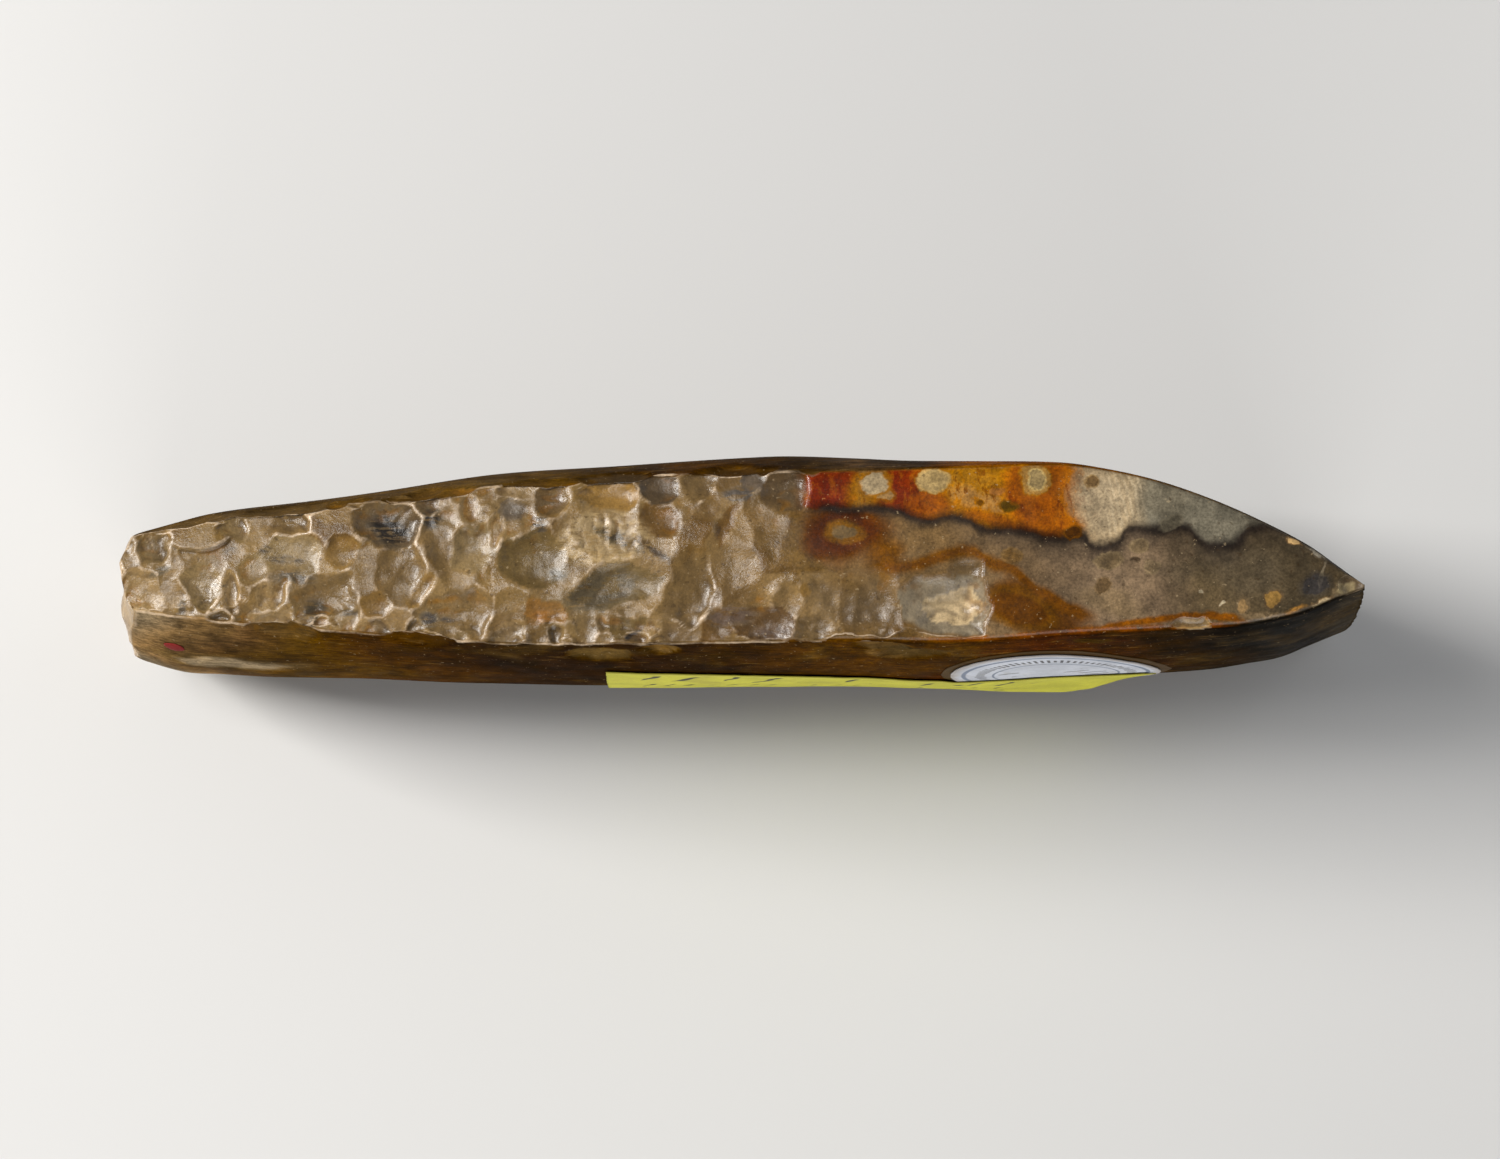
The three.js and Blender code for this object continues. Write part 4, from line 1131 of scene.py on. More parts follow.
def near_group(blot, drift):
    """Colours of the near narrow side, from those above its vein and those below."""
    inputs = [
        ("Place", "NodeSocketVector"), ("Upper", "NodeSocketColor"), ("Lower", "NodeSocketColor"),
    ]
    group, tree, given, result = new_group("Near side", inputs, [("Colour", "NodeSocketColor")])
    moved = tree.group(drift, place=given["Place"], reach=0.65).outputs[0]
    x, y, _ = tree.apart(moved)
    over = tree.sum("SUBTRACT", y, tree.line(x, VEIN))
    shade = tree.step(over, -4.4, -0.3, 0.0, 0.62)
    shade = tree.sum("MULTIPLY", shade, tree.step(x, 108.0, 122.0))
    lower = tree.mix(shade, given["Lower"], paint((60, 52, 44)))
    # Rust is laid unevenly in the upper part, in short upright streaks.
    streak = tree.noise(tree.vector("MULTIPLY", moved, (1.5, 0.7, 1.0)), 1.5, 4.0, 0.65)
    rusty = tree.step(x, 133.0, 127.0)
    light = tree.sum("MULTIPLY", tree.step(streak, 0.5, 0.66, 0.0, 0.4), rusty)
    upper = tree.mix(light, given["Upper"], paint((180, 106, 40)))
    dark = tree.sum("MULTIPLY", tree.step(streak, 0.46, 0.34, 0.0, 0.6), rusty)
    upper = tree.mix(dark, upper, paint((92, 30, 4)))
    colour = tree.mix(tree.step(over, -0.3, 0.35), lower, upper)
    # Bands that cross the ground part, each with a half width, a tone and the places it runs between.
    lines = (
        (over, 1.5, (38, 31, 26), 94, 156, 0.95),
        (tree.sum("SUBTRACT", y, tree.line(x, ORANGE_BAND)), 1.5, (112, 66, 20), 104, 131, 0.85),
        (tree.sum("SUBTRACT", y, tree.line(x, LOWER_LINE)), 0.8, (138, 78, 24), 128, 152, 0.8),
    )
    for gap, half, tone, first, last, amount in lines:
        band = tree.step(tree.sum("ABSOLUTE", gap), half, 0.0, 0.0, amount)
        begun = tree.step(x, first - 1.5, first + 1.5)
        ended = tree.step(x, last + 2.0, last - 2.0)
        band = tree.sum("MULTIPLY", tree.sum("MULTIPLY", band, begun), ended)
        colour = tree.mix(band, colour, paint(tone))
    # Pale growth lines of the flint.
    ring = tree.sum("SINE", tree.sum("MULTIPLY", tree.sum("MULTIPLY_ADD", y, 0.25, x), 7.0))
    grown = tree.sum("MULTIPLY", tree.step(x, 132.5, 134.5), tree.step(x, 138.8, 137.6))
    grown = tree.sum("MULTIPLY", grown, tree.step(over, 0.5, 2.0))
    ring = tree.sum("MULTIPLY", tree.step(ring, -0.2, 1.0, 0.0, 0.4), grown)
    colour = tree.mix(ring, colour, paint((200, 184, 158)))
    around = tree.group(drift, place=given["Place"], reach=1.15).outputs[0]
    around = tree.vector("MULTIPLY", around, (1.0, 1.0, 0.0))
    picked = [near_place(*row[:2]) + row[2:] for row in PICKED_INCLUSIONS]
    colour = lay_blots(tree, colour, around, INCLUSIONS + picked, blot)

    patch = tree.noise(moved, 5.5, 3.0, 0.55)
    knapped = tree.mix(tree.step(patch, 0.35, 0.62), paint((103, 82, 55)), paint((130, 108, 76)))
    stain = tree.noise(tree.vector("ADD", moved, (17.0, 60.0, 5.0)), 7.5, 3.0, 0.6)
    knapped = tree.mix(tree.step(stain, 0.56, 0.7, 0.0, 0.7), knapped, paint((82, 60, 35)))
    limit = tree.step(y, 2.0, -8.0, 92.4, 108.0)
    knapped = tree.mix(tree.step(x, 64.0, 82.0, 0.0, 0.45), knapped, paint((100, 76, 50)))
    ground = tree.step(tree.sum("SUBTRACT", x, limit), -1.2, 1.2)
    tree.feed(result["Colour"], tree.mix(ground, knapped, colour))
    return group


def broad_group():
    """Clouds, streaks, painted glints and fine scratches over the tones of a broad face."""
    inputs = [("Place", "NodeSocketVector"), ("Colour", "NodeSocketColor")]
    group, tree, given, result = new_group("Broad face", inputs, [("Colour", "NodeSocketColor")])
    cloud = tree.noise(given["Place"], 14.0, 4.0, 0.6)
    colour = tree.mix(tree.step(cloud, 0.52, 0.7, 0.0, 0.55), given["Colour"], paint((96, 78, 52)))
    cloud = tree.noise(tree.vector("ADD", given["Place"], (60.0, 5.0, 31.0)), 10.0, 4.0, 0.6)
    colour = tree.mix(tree.step(cloud, 0.56, 0.7, 0.0, 0.6), colour, paint((38, 28, 16)))
    streak = tree.noise(tree.vector("MULTIPLY", given["Place"], (0.25, 1.0, 1.6)), 2.2, 3.0, 0.6)
    colour = tree.mix(tree.step(streak, 0.6, 0.74, 0.0, 0.4), colour, paint((140, 116, 84)))
    # Towards the cutting edge the face is almost black, with pale streaks painted in as glints: a painted
    # reflection on its polish.
    x = tree.apart(given["Place"])[0]
    glint = tree.noise(tree.vector("MULTIPLY", given["Place"], (0.1, 1.0, 2.2)), 1.3, 3.0, 0.6)
    glint = tree.sum("MULTIPLY", tree.step(glint, 0.56, 0.68, 0.0, 0.4), tree.step(x, 143.0, 156.0))
    colour = tree.mix(glint, colour, paint((92, 84, 70)))
    # Fine scratches of the grinding run along the face.
    scratch = tree.noise(tree.vector("MULTIPLY", given["Place"], (0.09, 1.0, 1.0)), 0.36, 3.0, 0.65)
    factor = tree.step(scratch, 0.36, 0.64, 0.68, 1.36)
    mottle = tree.step(tree.noise(given["Place"], 5.0, 5.0, 0.65), 0.3, 0.7, 0.62, 1.4)
    factor = tree.sum("MULTIPLY", factor, mottle)
    factor = tree.sum("MULTIPLY", factor, tree.step(x, 138.0, 152.0, 1.0, 0.6))
    light = tree.together(factor, factor, factor)
    tree.feed(result["Colour"], tree.mix(1.0, colour, light, "MULTIPLY"))
    return group


def flint_material(settings):
    """The stone: knapped and grey-brown at the butt, ground and banded towards the edge."""
    material = bpy.data.materials.new("flint")
    material.use_nodes = True
    tree = Tree(material.node_tree)
    tree.nodes.clear()
    shader = tree.add("ShaderNodeBsdfPrincipled")
    output = tree.add("ShaderNodeOutputMaterial")
    tree.links.new(shader.outputs[0], output.inputs[0])

    where = tree.add("ShaderNodeTexCoord").outputs["Object"]
    place = tree.vector("SUBTRACT", tree.scaled(where, 1 / MM), tuple(OFFSET))
    x, y, _ = tree.apart(place)
    grain = tree.group(grain_group(), place=place).outputs

    weights = tree.add("ShaderNodeAttribute", attribute_name="face_shares")
    parts = tree.add("ShaderNodeSeparateColor")
    tree.links.new(weights.outputs["Color"], parts.inputs[0])
    near_share, far_share, label_share = parts.outputs[0], parts.outputs[1], parts.outputs[2]
    plain_share = weights.outputs["Alpha"]
    sides = tree.sum("ADD", tree.sum("ADD", near_share, far_share), label_share)
    end_share = tree.step(tree.sum("ADD", sides, plain_share), 0.7, 0.3)

    upper = tree.add("ShaderNodeAttribute", attribute_name="upper_tone").outputs["Color"]
    ground = tree.add("ShaderNodeAttribute", attribute_name="ground_tone").outputs["Color"]
    near_side = near_group(blot_group(), drift_group())
    near = tree.group(near_side, place=place, upper=upper, lower=ground).outputs[0]
    others = tree.group(broad_group(), place=place, colour=ground).outputs[0]
    colour = tree.mix(tree.step(near_share, 0.25, 0.75), others, near)
    crust = tree.step(tree.noise(place, 3.5, 4.0, 0.6), 0.35, 0.65)
    butt = tree.mix(crust, paint((138, 118, 94)), paint((196, 174, 144)))
    ends = tree.mix(tree.step(x, 60.0, 100.0), butt, paint((58, 52, 42)))
    colour = tree.mix(end_share, colour, ends)
    # Rust has settled along the ground margin of the labelled face.
    margin = tree.sum("MULTIPLY", tree.step(label_share, 0.04, 0.3), tree.step(label_share, 0.97, 0.7))
    rust = tree.sum("MULTIPLY", tree.step(x, 96.0, 122.0), tree.step(x, 152.0, 146.0, 0.0, 0.7))
    rust = tree.sum("MULTIPLY", rust, tree.step(tree.noise(place, 3.0, 3.0, 0.6), 0.4, 0.56, 0.2, 1.0))
    colour = tree.mix(tree.sum("MULTIPLY", margin, rust), colour, paint((140, 74, 20)))

    tone = tree.add("ShaderNodeAttribute", attribute_name="scar_tone")
    colour = tree.mix(tone.outputs["Alpha"], colour, tone.outputs["Color"])
    knapped = tree.add("ShaderNodeAttribute", attribute_name="scar_depth").outputs["Fac"]
    # The deeper middles of the scars are painted greyer than their thin, lighter rims: painted shade in
    # the hollows, with the rims kept light as if light shone through them.
    hollow_shade = tree.sum("MULTIPLY", tree.step(knapped, 0.5, 1.2, 0.0, 0.5), tree.step(near_share, 0.3, 0.7))
    hollow_shade = tree.sum("MULTIPLY", hollow_shade, tree.step(tone.outputs["Alpha"], 0.9, 0.5))
    colour = tree.mix(hollow_shade, colour, paint((100, 88, 72)))
    knapped = tree.sum("MAXIMUM", tree.step(x, 96.0, 84.0), tree.step(knapped, 0.02, 0.1))
    stain = tree.add("ShaderNodeAttribute", attribute_name="stain_tone").outputs
    broken = tree.noise(tree.vector("MULTIPLY", place, (0.5, 1.7, 1.0)), 1.1, 3.0, 0.6)
    stained = tree.sum("MULTIPLY", stain["Alpha"], tree.step(broken, 0.42, 0.52, 0.3, 1.0))
    stained = tree.sum("MULTIPLY", stained, tree.step(near_share, 0.2, 0.6))
    colour = tree.mix(stained, colour, stain["Color"])
    crest = tree.add("ShaderNodeAttribute", attribute_name="crest").outputs["Fac"]
    rusty = tree.noise(tree.vector("ADD", place, (3.0, 44.0, 8.0)), 8.0, 3.0, 0.6)
    rusty = tree.sum("MULTIPLY", tree.step(rusty, 0.52, 0.66, 0.0, 0.4), knapped)
    bent = tree.step(crest, 0.0, -0.12)
    colour = tree.mix(tree.sum("MULTIPLY", rusty, bent), colour, paint((146, 104, 58)))
    # The crests between the scars are painted pale: partly the paler thin rims of the stone, partly a
    # painted highlight where they catch the light.
    ragged = tree.step(tree.noise(place, 0.9, 3.0, 0.6), 0.25, 0.65, 0.3, 1.0)
    high = tree.sum("MULTIPLY", tree.step(crest, 0.1, 0.42, 0.0, 0.95), ragged)
    high = tree.sum("MULTIPLY", high, knapped)
    high = tree.sum("MULTIPLY", high, tree.step(margin, 0.0, 1.0, 1.0, 0.4))
    red_part = tree.sum("MULTIPLY", tree.step(x, 90.0, 91.5), tree.step(y, 4.0, 6.0))
    high = tree.sum("MULTIPLY", high, tree.step(red_part, 0.0, 1.0, 1.0, 0.25))
    worn = tree.noise(tree.vector("ADD", place, (7.0, 2.0, 30.0)), 5.0, 2.0, 0.5)
    high = tree.sum("MULTIPLY", high, tree.step(worn, 0.4, 0.58, 0.3, 1.0))
    colour = tree.mix(high, colour, tuple(settings.crest_highlight_colour) + (1.0,))
    # The creases between the scars are painted darker: painted shade.
    crease = tree.sum("MULTIPLY", tree.step(crest, -0.04, -0.3, 0.0, 0.5), knapped)
    colour = tree.mix(crease, colour, paint((66, 52, 38)))

    light = tree.together(grain["Light"], grain["Light"], grain["Light"])
    colour = tree.mix(tree.step(knapped, 0.0, 1.0, 1.0, 0.55), colour, light, "MULTIPLY")
    dark = tree.sum("MULTIPLY", grain["Dark"], 0.45)
    colour = tree.mix(dark, colour, paint((58, 44, 30)))
    pale = tree.sum("MULTIPLY", grain["Pale"], 0.35)
    colour = tree.mix(pale, colour, paint((198, 178, 148)))
    rich = tree.add("ShaderNodeHueSaturation")
    tree.feed(rich.inputs["Saturation"], settings.richness)
    tree.feed(rich.inputs["Value"], settings.brightness)
    tree.feed(rich.inputs["Color"], colour)
    tree.feed(shader.inputs["Base Color"], rich.outputs[0])

    rough = tree.step(knapped, 0.0, 1.0, settings.ground_roughness, settings.knapped_roughness)
    patch = tree.step(tree.noise(place, 4.0, 2.0, 0.5), 0.3, 0.7, -0.06, 0.06)
    # The broad faces are duller than the narrow sides.
    broad = tree.step(tree.sum("ADD", label_share, plain_share), 0.3, 0.7)
    broad = tree.sum("MULTIPLY", broad, tree.step(x, 148.0, 160.0, 1.0, 0.82))
    rough = tree.sum("MULTIPLY_ADD", broad, 0.28, rough)
    tree.feed(shader.inputs["Roughness"], tree.sum("ADD", rough, patch))
    narrow = tree.step(knapped, 0.0, 1.0, 1.32, 1.45)
    tree.feed(shader.inputs["IOR"], tree.step(broad, 0.0, 1.0, narrow, 1.035))

    crumb = tree.sum("MULTIPLY", grain["Height"], tree.step(knapped, 0.0, 1.0, 0.25, 1.0))
    scratched = tree.noise(tree.vector("MULTIPLY", place, (0.12, 1.0, 1.0)), 0.28, 2.0, 0.5)
    scratched = tree.sum("MULTIPLY", scratched, tree.step(knapped, 0.0, 1.0, 0.3, 0.0))
    bump = tree.add("ShaderNodeBump")
    tree.feed(bump.inputs["Strength"], 0.6)
    tree.feed(bump.inputs["Distance"], 0.12 * MM)
    tree.feed(bump.inputs["Height"], tree.sum("ADD", crumb, scratched))
    tree.feed(shader.inputs["Normal"], bump.outputs[0])
    return material


# Where the papers, the gum and the paint lie on the labelled face, as in the frame.
OVAL_PLACE_SHARE = (0.761, 0.53)
OVAL_TURN = -57
STRIP_PLACE_SHARE = (0.392, 0.51)
STRIP_TURN = -9
STRIP_RIGHT_SLANT = 9.5
STRIP_LEFT_SLANT = 3.2
DAB_PLACE_SHARE = (0.04, 0.797)


def on_label_face(flat, place_share, turn, lift):
    """Wraps flat places (run, down, height of the sheet) onto the labelled face, that far off it."""
    cos, sin = math.cos(math.radians(turn)), math.sin(math.radians(turn))
    x = place_share[0] * LENGTH + flat[:, 0] * cos + flat[:, 1] * sin
    z = place_share[1] * width_at(place_share[0]) + flat[:, 0] * sin - flat[:, 1] * cos
    along = x / LENGTH
    y = label_height(along, z / width_at(along)) - lift - flat[:, 2]
    return np.stack([x, y, z], axis=-1)


def flat_sheet(name, cuts_long, cuts_wide):
    """A closed thin slab one unit long and wide, cut into a grid."""
    bm = bmesh.new()
    bmesh.ops.create_grid(bm, x_segments=cuts_long, y_segments=cuts_wide, size=0.5)
    bmesh.ops.solidify(bm, geom=bm.faces[:], thickness=1.0)
    bmesh.ops.recalc_face_normals(bm, faces=bm.faces[:])
    mesh = bpy.data.meshes.new(name)
    bm.to_mesh(mesh)
    bm.free()
    return mesh


def as_disc(places):
    """Bends a square of places into a round disc of radius 1."""
    u, v = places[:, 0] * 2, places[:, 1] * 2
    return u * np.sqrt(1 - v * v / 2), v * np.sqrt(1 - u * u / 2)


def low_and_high(places):
    """0 on the lower skin of a flat sheet and 1 on its upper one."""
    heights = places[:, 2]
    return (heights - heights.min()) / (heights.max() - heights.min())


def finish_sheet(mesh, flat, placed):
    """Stores the flat places for the inks, and puts the sheet in its place."""
    attribute = mesh.attributes.new("flat_place", "FLOAT_VECTOR", "POINT")
    attribute.data.foreach_set("vector", flat.astype(np.float32).ravel())
    write_places(mesh, (placed + OFFSET) * MM)
    bm = bmesh.new()
    bm.from_mesh(mesh)
    bmesh.ops.recalc_face_normals(bm, faces=bm.faces[:])
    bm.to_mesh(mesh)
    bm.free()


def inside_oval(x, z, margin):
    """1 where a place of the labelled face lies under the oval paper, 0 away from it."""
    turn = math.radians(OVAL_TURN)
    run = x - OVAL_PLACE_SHARE[0] * LENGTH
    rise = z - OVAL_PLACE_SHARE[1] * width_at(OVAL_PLACE_SHARE[0])
    over = (run * math.cos(turn) + rise * math.sin(turn)) / 18.5
    beside = (run * math.sin(turn) - rise * math.cos(turn)) / 12.8
    distance = (np.hypot(over, beside) - 1) * 12.8
    return smooth_step(margin, 0, distance)


def make_strip(settings):
    mesh = flat_sheet("strip_paper", 150, 40)
    raw = read_places(mesh)
    length, width = settings.strip_length / MM, settings.strip_width / MM
    skin = low_and_high(raw)
    down = raw[:, 1]
    left = STRIP_LEFT_SLANT * down
    right = length - STRIP_RIGHT_SLANT * (0.5 + down)
    flat = np.stack([left + (raw[:, 0] + 0.5) * (right - left), down * width, skin], axis=-1)
    ragged = wobble(flat * (1, 1, 0), 1.6, 11)
    rim = smooth_step(0.46, 0.5, np.abs(down))
    ends = smooth_step(0.485, 0.5, np.abs(raw[:, 0]))
    flat[:, 1] += 0.16 * rim * ragged[:, 0]
    flat[:, 0] += 0.16 * ends * ragged[:, 1]
    sheet = flat.copy()
    sheet[:, 2] = skin * settings.paper_thickness / MM
    placed = on_label_face(sheet, STRIP_PLACE_SHARE, STRIP_TURN, 0.0)
    over_oval = inside_oval(placed[:, 0], placed[:, 2], 2.4)
    crinkle = wobble(flat * (1, 1, 0), 5.0, 12)[:, 0]
    curl = smooth_step(0.4, 0.5, np.abs(down)) + smooth_step(0.47, 0.5, np.abs(raw[:, 0]))
    lift = 0.14 + 0.24 * over_oval + 0.05 * (crinkle + 0.4) + 0.08 * np.minimum(curl, 1)
    # The lower corner of the slanted end has come off the stone.
    corner = smooth_step(0.6, 0.9, flat[:, 0] / length) * smooth_step(-0.3, 0.5, down)
    lift += corner * settings.corner_lift / MM
    placed[:, 1] -= lift
    finish_sheet(mesh, flat, placed)
    return mesh


def make_oval(settings):
    mesh = flat_sheet("oval_paper", 60, 48)
    raw = read_places(mesh)
    skin = low_and_high(raw)
    u, v = as_disc(raw)
    half_long, half_short = settings.oval_length / MM / 2, settings.oval_width / MM / 2
    flat = np.stack([u * half_long, v * half_short, skin], axis=-1)
    rim = np.hypot(u, v)
    ragged = wobble(flat * (1, 1, 0), 1.4, 21)
    flat[:, :2] += 0.12 * (smooth_step(0.9, 1, rim)[:, None] * ragged[:, :2])
    sheet = flat.copy()
    sheet[:, 2] = skin * settings.paper_thickness / MM
    placed = on_label_face(sheet, OVAL_PLACE_SHARE, OVAL_TURN, 0.0)
    crinkle = wobble(flat * (1, 1, 0), 6.0, 22)[:, 0]
    placed[:, 1] -= 0.16 + 0.03 * (crinkle + 0.4) + 0.07 * smooth_step(0.86, 1, rim)
    finish_sheet(mesh, flat, placed)
    return mesh


def make_gum(settings):
    mesh = flat_sheet("gum_halo", 60, 48)
    raw = read_places(mesh)
    skin = low_and_high(raw)
    u, v = as_disc(raw)
    half_long = settings.oval_length / MM / 2 + settings.gum_margin / MM
    half_short = settings.oval_width / MM / 2 + settings.gum_margin / MM
    rim = np.hypot(u, v)
    flat = np.stack([u * half_long, v * half_short, skin], axis=-1)
    ragged = wobble(flat * (1, 1, 0), 3.0, 31)
    flat[:, :2] += 0.35 * (smooth_step(0.9, 1, rim)[:, None] * (ragged[:, :2] - 0.5))
    sheet = flat.copy()
    sheet[:, 2] = skin * (0.09 - 0.05 * smooth_step(0.9, 1, rim))
    placed = on_label_face(sheet, OVAL_PLACE_SHARE, OVAL_TURN, 0.05)
    finish_sheet(mesh, flat, placed)
    return mesh


def make_dab(settings):
    mesh = flat_sheet("paint_spot", 28, 24)
    raw = read_places(mesh)
    skin = low_and_high(raw)
    u, v = as_disc(raw)
    rim = np.hypot(u, v)
    flat = np.stack([u * settings.dab_length / MM / 2, v * settings.dab_width / MM / 2, skin], axis=-1)
    ragged = wobble(flat * (1, 1, 0), 1.1, 41)
    flat[:, :2] += 0.22 * (smooth_step(0.5, 1, rim)[:, None] * ragged[:, :2])
    sheet = flat.copy()
    sheet[:, 2] = skin * (0.05 + 0.13 * np.sqrt(np.maximum(1 - rim * rim, 0)))
    placed = on_label_face(sheet, DAB_PLACE_SHARE, 0, 0.04)
    finish_sheet(mesh, flat, placed)
    return mesh


def stroke_group():
    """Short ink strokes in a row: 1 on a stroke, 0 beside it."""
    inputs = [
        ("Place", "NodeSocketVector"), ("Spacing", "NodeSocketFloat"), ("Width", "NodeSocketFloat"),
        ("Middle", "NodeSocketFloat"), ("Reach", "NodeSocketFloat"),
    ]
    group, tree, given, result = new_group("Ink strokes", inputs, [("Ink", "NodeSocketFloat")])
    x, y, _ = tree.apart(given["Place"])
    share = tree.sum("DIVIDE", x, given["Spacing"])
    number = tree.sum("FLOOR", share)
    within = tree.sum("ABSOLUTE", tree.sum("SUBTRACT", tree.sum("FRACT", share), 0.5))
    off = tree.sum("MULTIPLY", within, given["Spacing"])
    line = tree.step(off, given["Width"], tree.sum("MULTIPLY", given["Width"], 0.4))
    # Each stroke has its own length.
    chance = tree.add("ShaderNodeTexWhiteNoise", noise_dimensions="1D")
    tree.feed(chance.inputs["W"], number)
    reach = tree.sum("MULTIPLY", given["Reach"], tree.step(chance.outputs[0], 0.0, 1.0, 0.6, 1.0))
    rise = tree.sum("ABSOLUTE", tree.sum("SUBTRACT", y, given["Middle"]))
    inside = tree.step(tree.sum("SUBTRACT", rise, reach), 0.12, -0.12)
    tree.feed(result["Ink"], tree.sum("MULTIPLY", line, inside))
    return group


def plain_material(name, colour, roughness):
    """A material with its shader, its tree and the flat places of the sheet that it is for."""
    material = bpy.data.materials.new(name)
    material.use_nodes = True
    tree = Tree(material.node_tree)
    tree.nodes.clear()
    shader = tree.add("ShaderNodeBsdfPrincipled")
    output = tree.add("ShaderNodeOutputMaterial")
    tree.links.new(shader.outputs[0], output.inputs[0])
    flat = tree.add("ShaderNodeAttribute", attribute_name="flat_place").outputs["Vector"]
    cloud = tree.step(tree.noise(flat, 6.0, 4.0, 0.6), 0.3, 0.7, 0.86, 1.1)
    fibre = tree.step(tree.noise(flat, 0.5, 3.0, 0.6), 0.3, 0.7, 0.94, 1.05)
    factor = tree.sum("MULTIPLY", cloud, fibre)
    light = tree.together(factor, factor, factor)
    colour = tree.mix(1.0, tuple(colour) + (1.0,), light, "MULTIPLY")
    tree.feed(shader.inputs["Roughness"], roughness)
    bump = tree.add("ShaderNodeBump")
    tree.feed(bump.inputs["Strength"], 0.5)
    tree.feed(bump.inputs["Distance"], 0.05 * MM)
    tree.feed(bump.inputs["Height"], tree.noise(flat, 0.4, 3.0, 0.6))
    tree.feed(shader.inputs["Normal"], bump.outputs[0])
    return material, tree, shader, flat, colour


# Rows of pen strokes on the strip: spacing, width, height of the row and reach of its strokes.
PEN_ROWS = ((5.6, 0.7, -5.0, 3.4), (2.9, 0.4, 2.6, 1.4), (3.4, 0.34, 6.9, 0.9))


def pen_place(tree, flat, bend):
    """Places of a sheet, slanted and bent so that strokes on it look drawn by hand."""
    x, y, _ = tree.apart(flat)
    slanted = tree.together(tree.sum("MULTIPLY_ADD", y, 0.4, x), y, 0.0)
    swing = tree.vector("SUBTRACT", tree.noise(flat, 3.4, 1.0, 0.5, 1), (0.5, 0.5, 0.5))
    return tree.vector("ADD", slanted, tree.scaled(swing, bend))


def pen_gaps(tree, flat):
    """1 where a hand has drawn strokes, 0 in the gaps it left between groups of them."""
    run = tree.noise(tree.vector("MULTIPLY", flat, (1.0, 0.25, 1.0)), 6.0, 1.0, 0.5)
    return tree.step(run, 0.44, 0.48)


def strip_material(settings, strokes):
    material, tree, shader, flat, colour = plain_material(
        "yellow_paper", settings.strip_colour, 0.75,
    )
    x, y, _ = tree.apart(flat)
    stain = tree.step(tree.noise(flat, 9.0, 4.0, 0.6), 0.55, 0.75, 0.0, 0.35)
    colour = tree.mix(stain, colour, paint((150, 128, 60)))
    dirty = tree.step(tree.sum("ABSOLUTE", y), 9.0, 10.2, 0.0, 0.45)
    colour = tree.mix(dirty, colour, paint((120, 100, 44)))
    moved = pen_place(tree, flat, 2.6)
    ink = None
    for spacing, width, middle, reach in PEN_ROWS:
        row = tree.group(
            strokes, place=moved, spacing=spacing, width=width, middle=middle, reach=reach,
        ).outputs[0]
        ink = row if ink is None else tree.sum("MAXIMUM", ink, row)
    shown = tree.sum("MULTIPLY", tree.step(x, 4.0, 4.4), tree.step(x, 60.5, 60.0))
    shown = tree.sum("MULTIPLY", shown, pen_gaps(tree, flat))
    ink = tree.sum("MULTIPLY", tree.sum("MULTIPLY", ink, shown), 0.95)
    tree.feed(shader.inputs["Base Color"], tree.mix(ink, colour, paint((34, 34, 34))))
    return material


def oval_material(settings, strokes, blot):
    material, tree, shader, flat, colour = plain_material("white_paper", settings.oval_colour, 0.7)
    half = (settings.oval_length / MM / 2, settings.oval_width / MM / 2, 1.0)
    flattened = tree.vector("MULTIPLY", flat, (1.0, 1.0, 0.0))
    distance = tree.group(blot, place=flattened, half=half).outputs[0]
    foxed = tree.step(tree.noise(flat, 5.0, 4.0, 0.6), 0.56, 0.75, 0.0, 0.4)
    colour = tree.mix(foxed, colour, paint((150, 132, 100)))
    worn = tree.step(distance, 0.9, 1.0, 0.0, 0.5)
    colour = tree.mix(worn, colour, paint((140, 118, 84)))
    lines = None
    for at, width in ((0.88, 0.03), (0.6, 0.016)):
        gap = tree.sum("ABSOLUTE", tree.sum("SUBTRACT", distance, at))
        line = tree.step(gap, width, width * 0.4)
        lines = line if lines is None else tree.sum("MAXIMUM", lines, line)
    colour = tree.mix(tree.sum("MULTIPLY", lines, 0.75), colour, paint((74, 92, 120)))
    moved = pen_place(tree, flat, 1.4)
    row = tree.group(strokes, place=moved, spacing=2.8, width=0.4, middle=-3.4, reach=2.6).outputs[0]
    second = tree.group(strokes, place=moved, spacing=3.6, width=0.4, middle=3.4, reach=2.2).outputs[0]
    row = tree.sum("MULTIPLY", tree.sum("MAXIMUM", row, second), pen_gaps(tree, flat))
    row = tree.sum("MULTIPLY", row, tree.step(distance, 0.6, 0.58))
    # A ring of ticks along the border, measured round the oval.
    x, y, _ = tree.apart(tree.vector("DIVIDE", flattened, half))
    round_it = tree.sum("MULTIPLY", tree.sum("ARCTAN2", y, x), half[1])
    outward = tree.sum("MULTIPLY", distance, half[1])
    ring = tree.group(
        strokes, place=tree.together(round_it, outward, 0.0), spacing=1.1, width=0.36,
        middle=half[1] * 0.72, reach=0.75,
    ).outputs[0]
    marks = tree.sum("MULTIPLY", tree.sum("MAXIMUM", row, ring), 0.9)
    tree.feed(shader.inputs["Base Color"], tree.mix(marks, colour, paint((52, 50, 52))))
    return material


def film_material(name, colour, roughness):
    material, tree, shader, flat, colour = plain_material(name, colour, roughness)
    tree.feed(shader.inputs["IOR"], 1.06)
    dark = tree.step(tree.noise(flat, 1.4, 3.0, 0.6), 0.45, 0.7, 0.0, 0.4)
    tree.feed(shader.inputs["Base Color"], tree.mix(dark, colour, paint((62, 44, 26))))
    return material


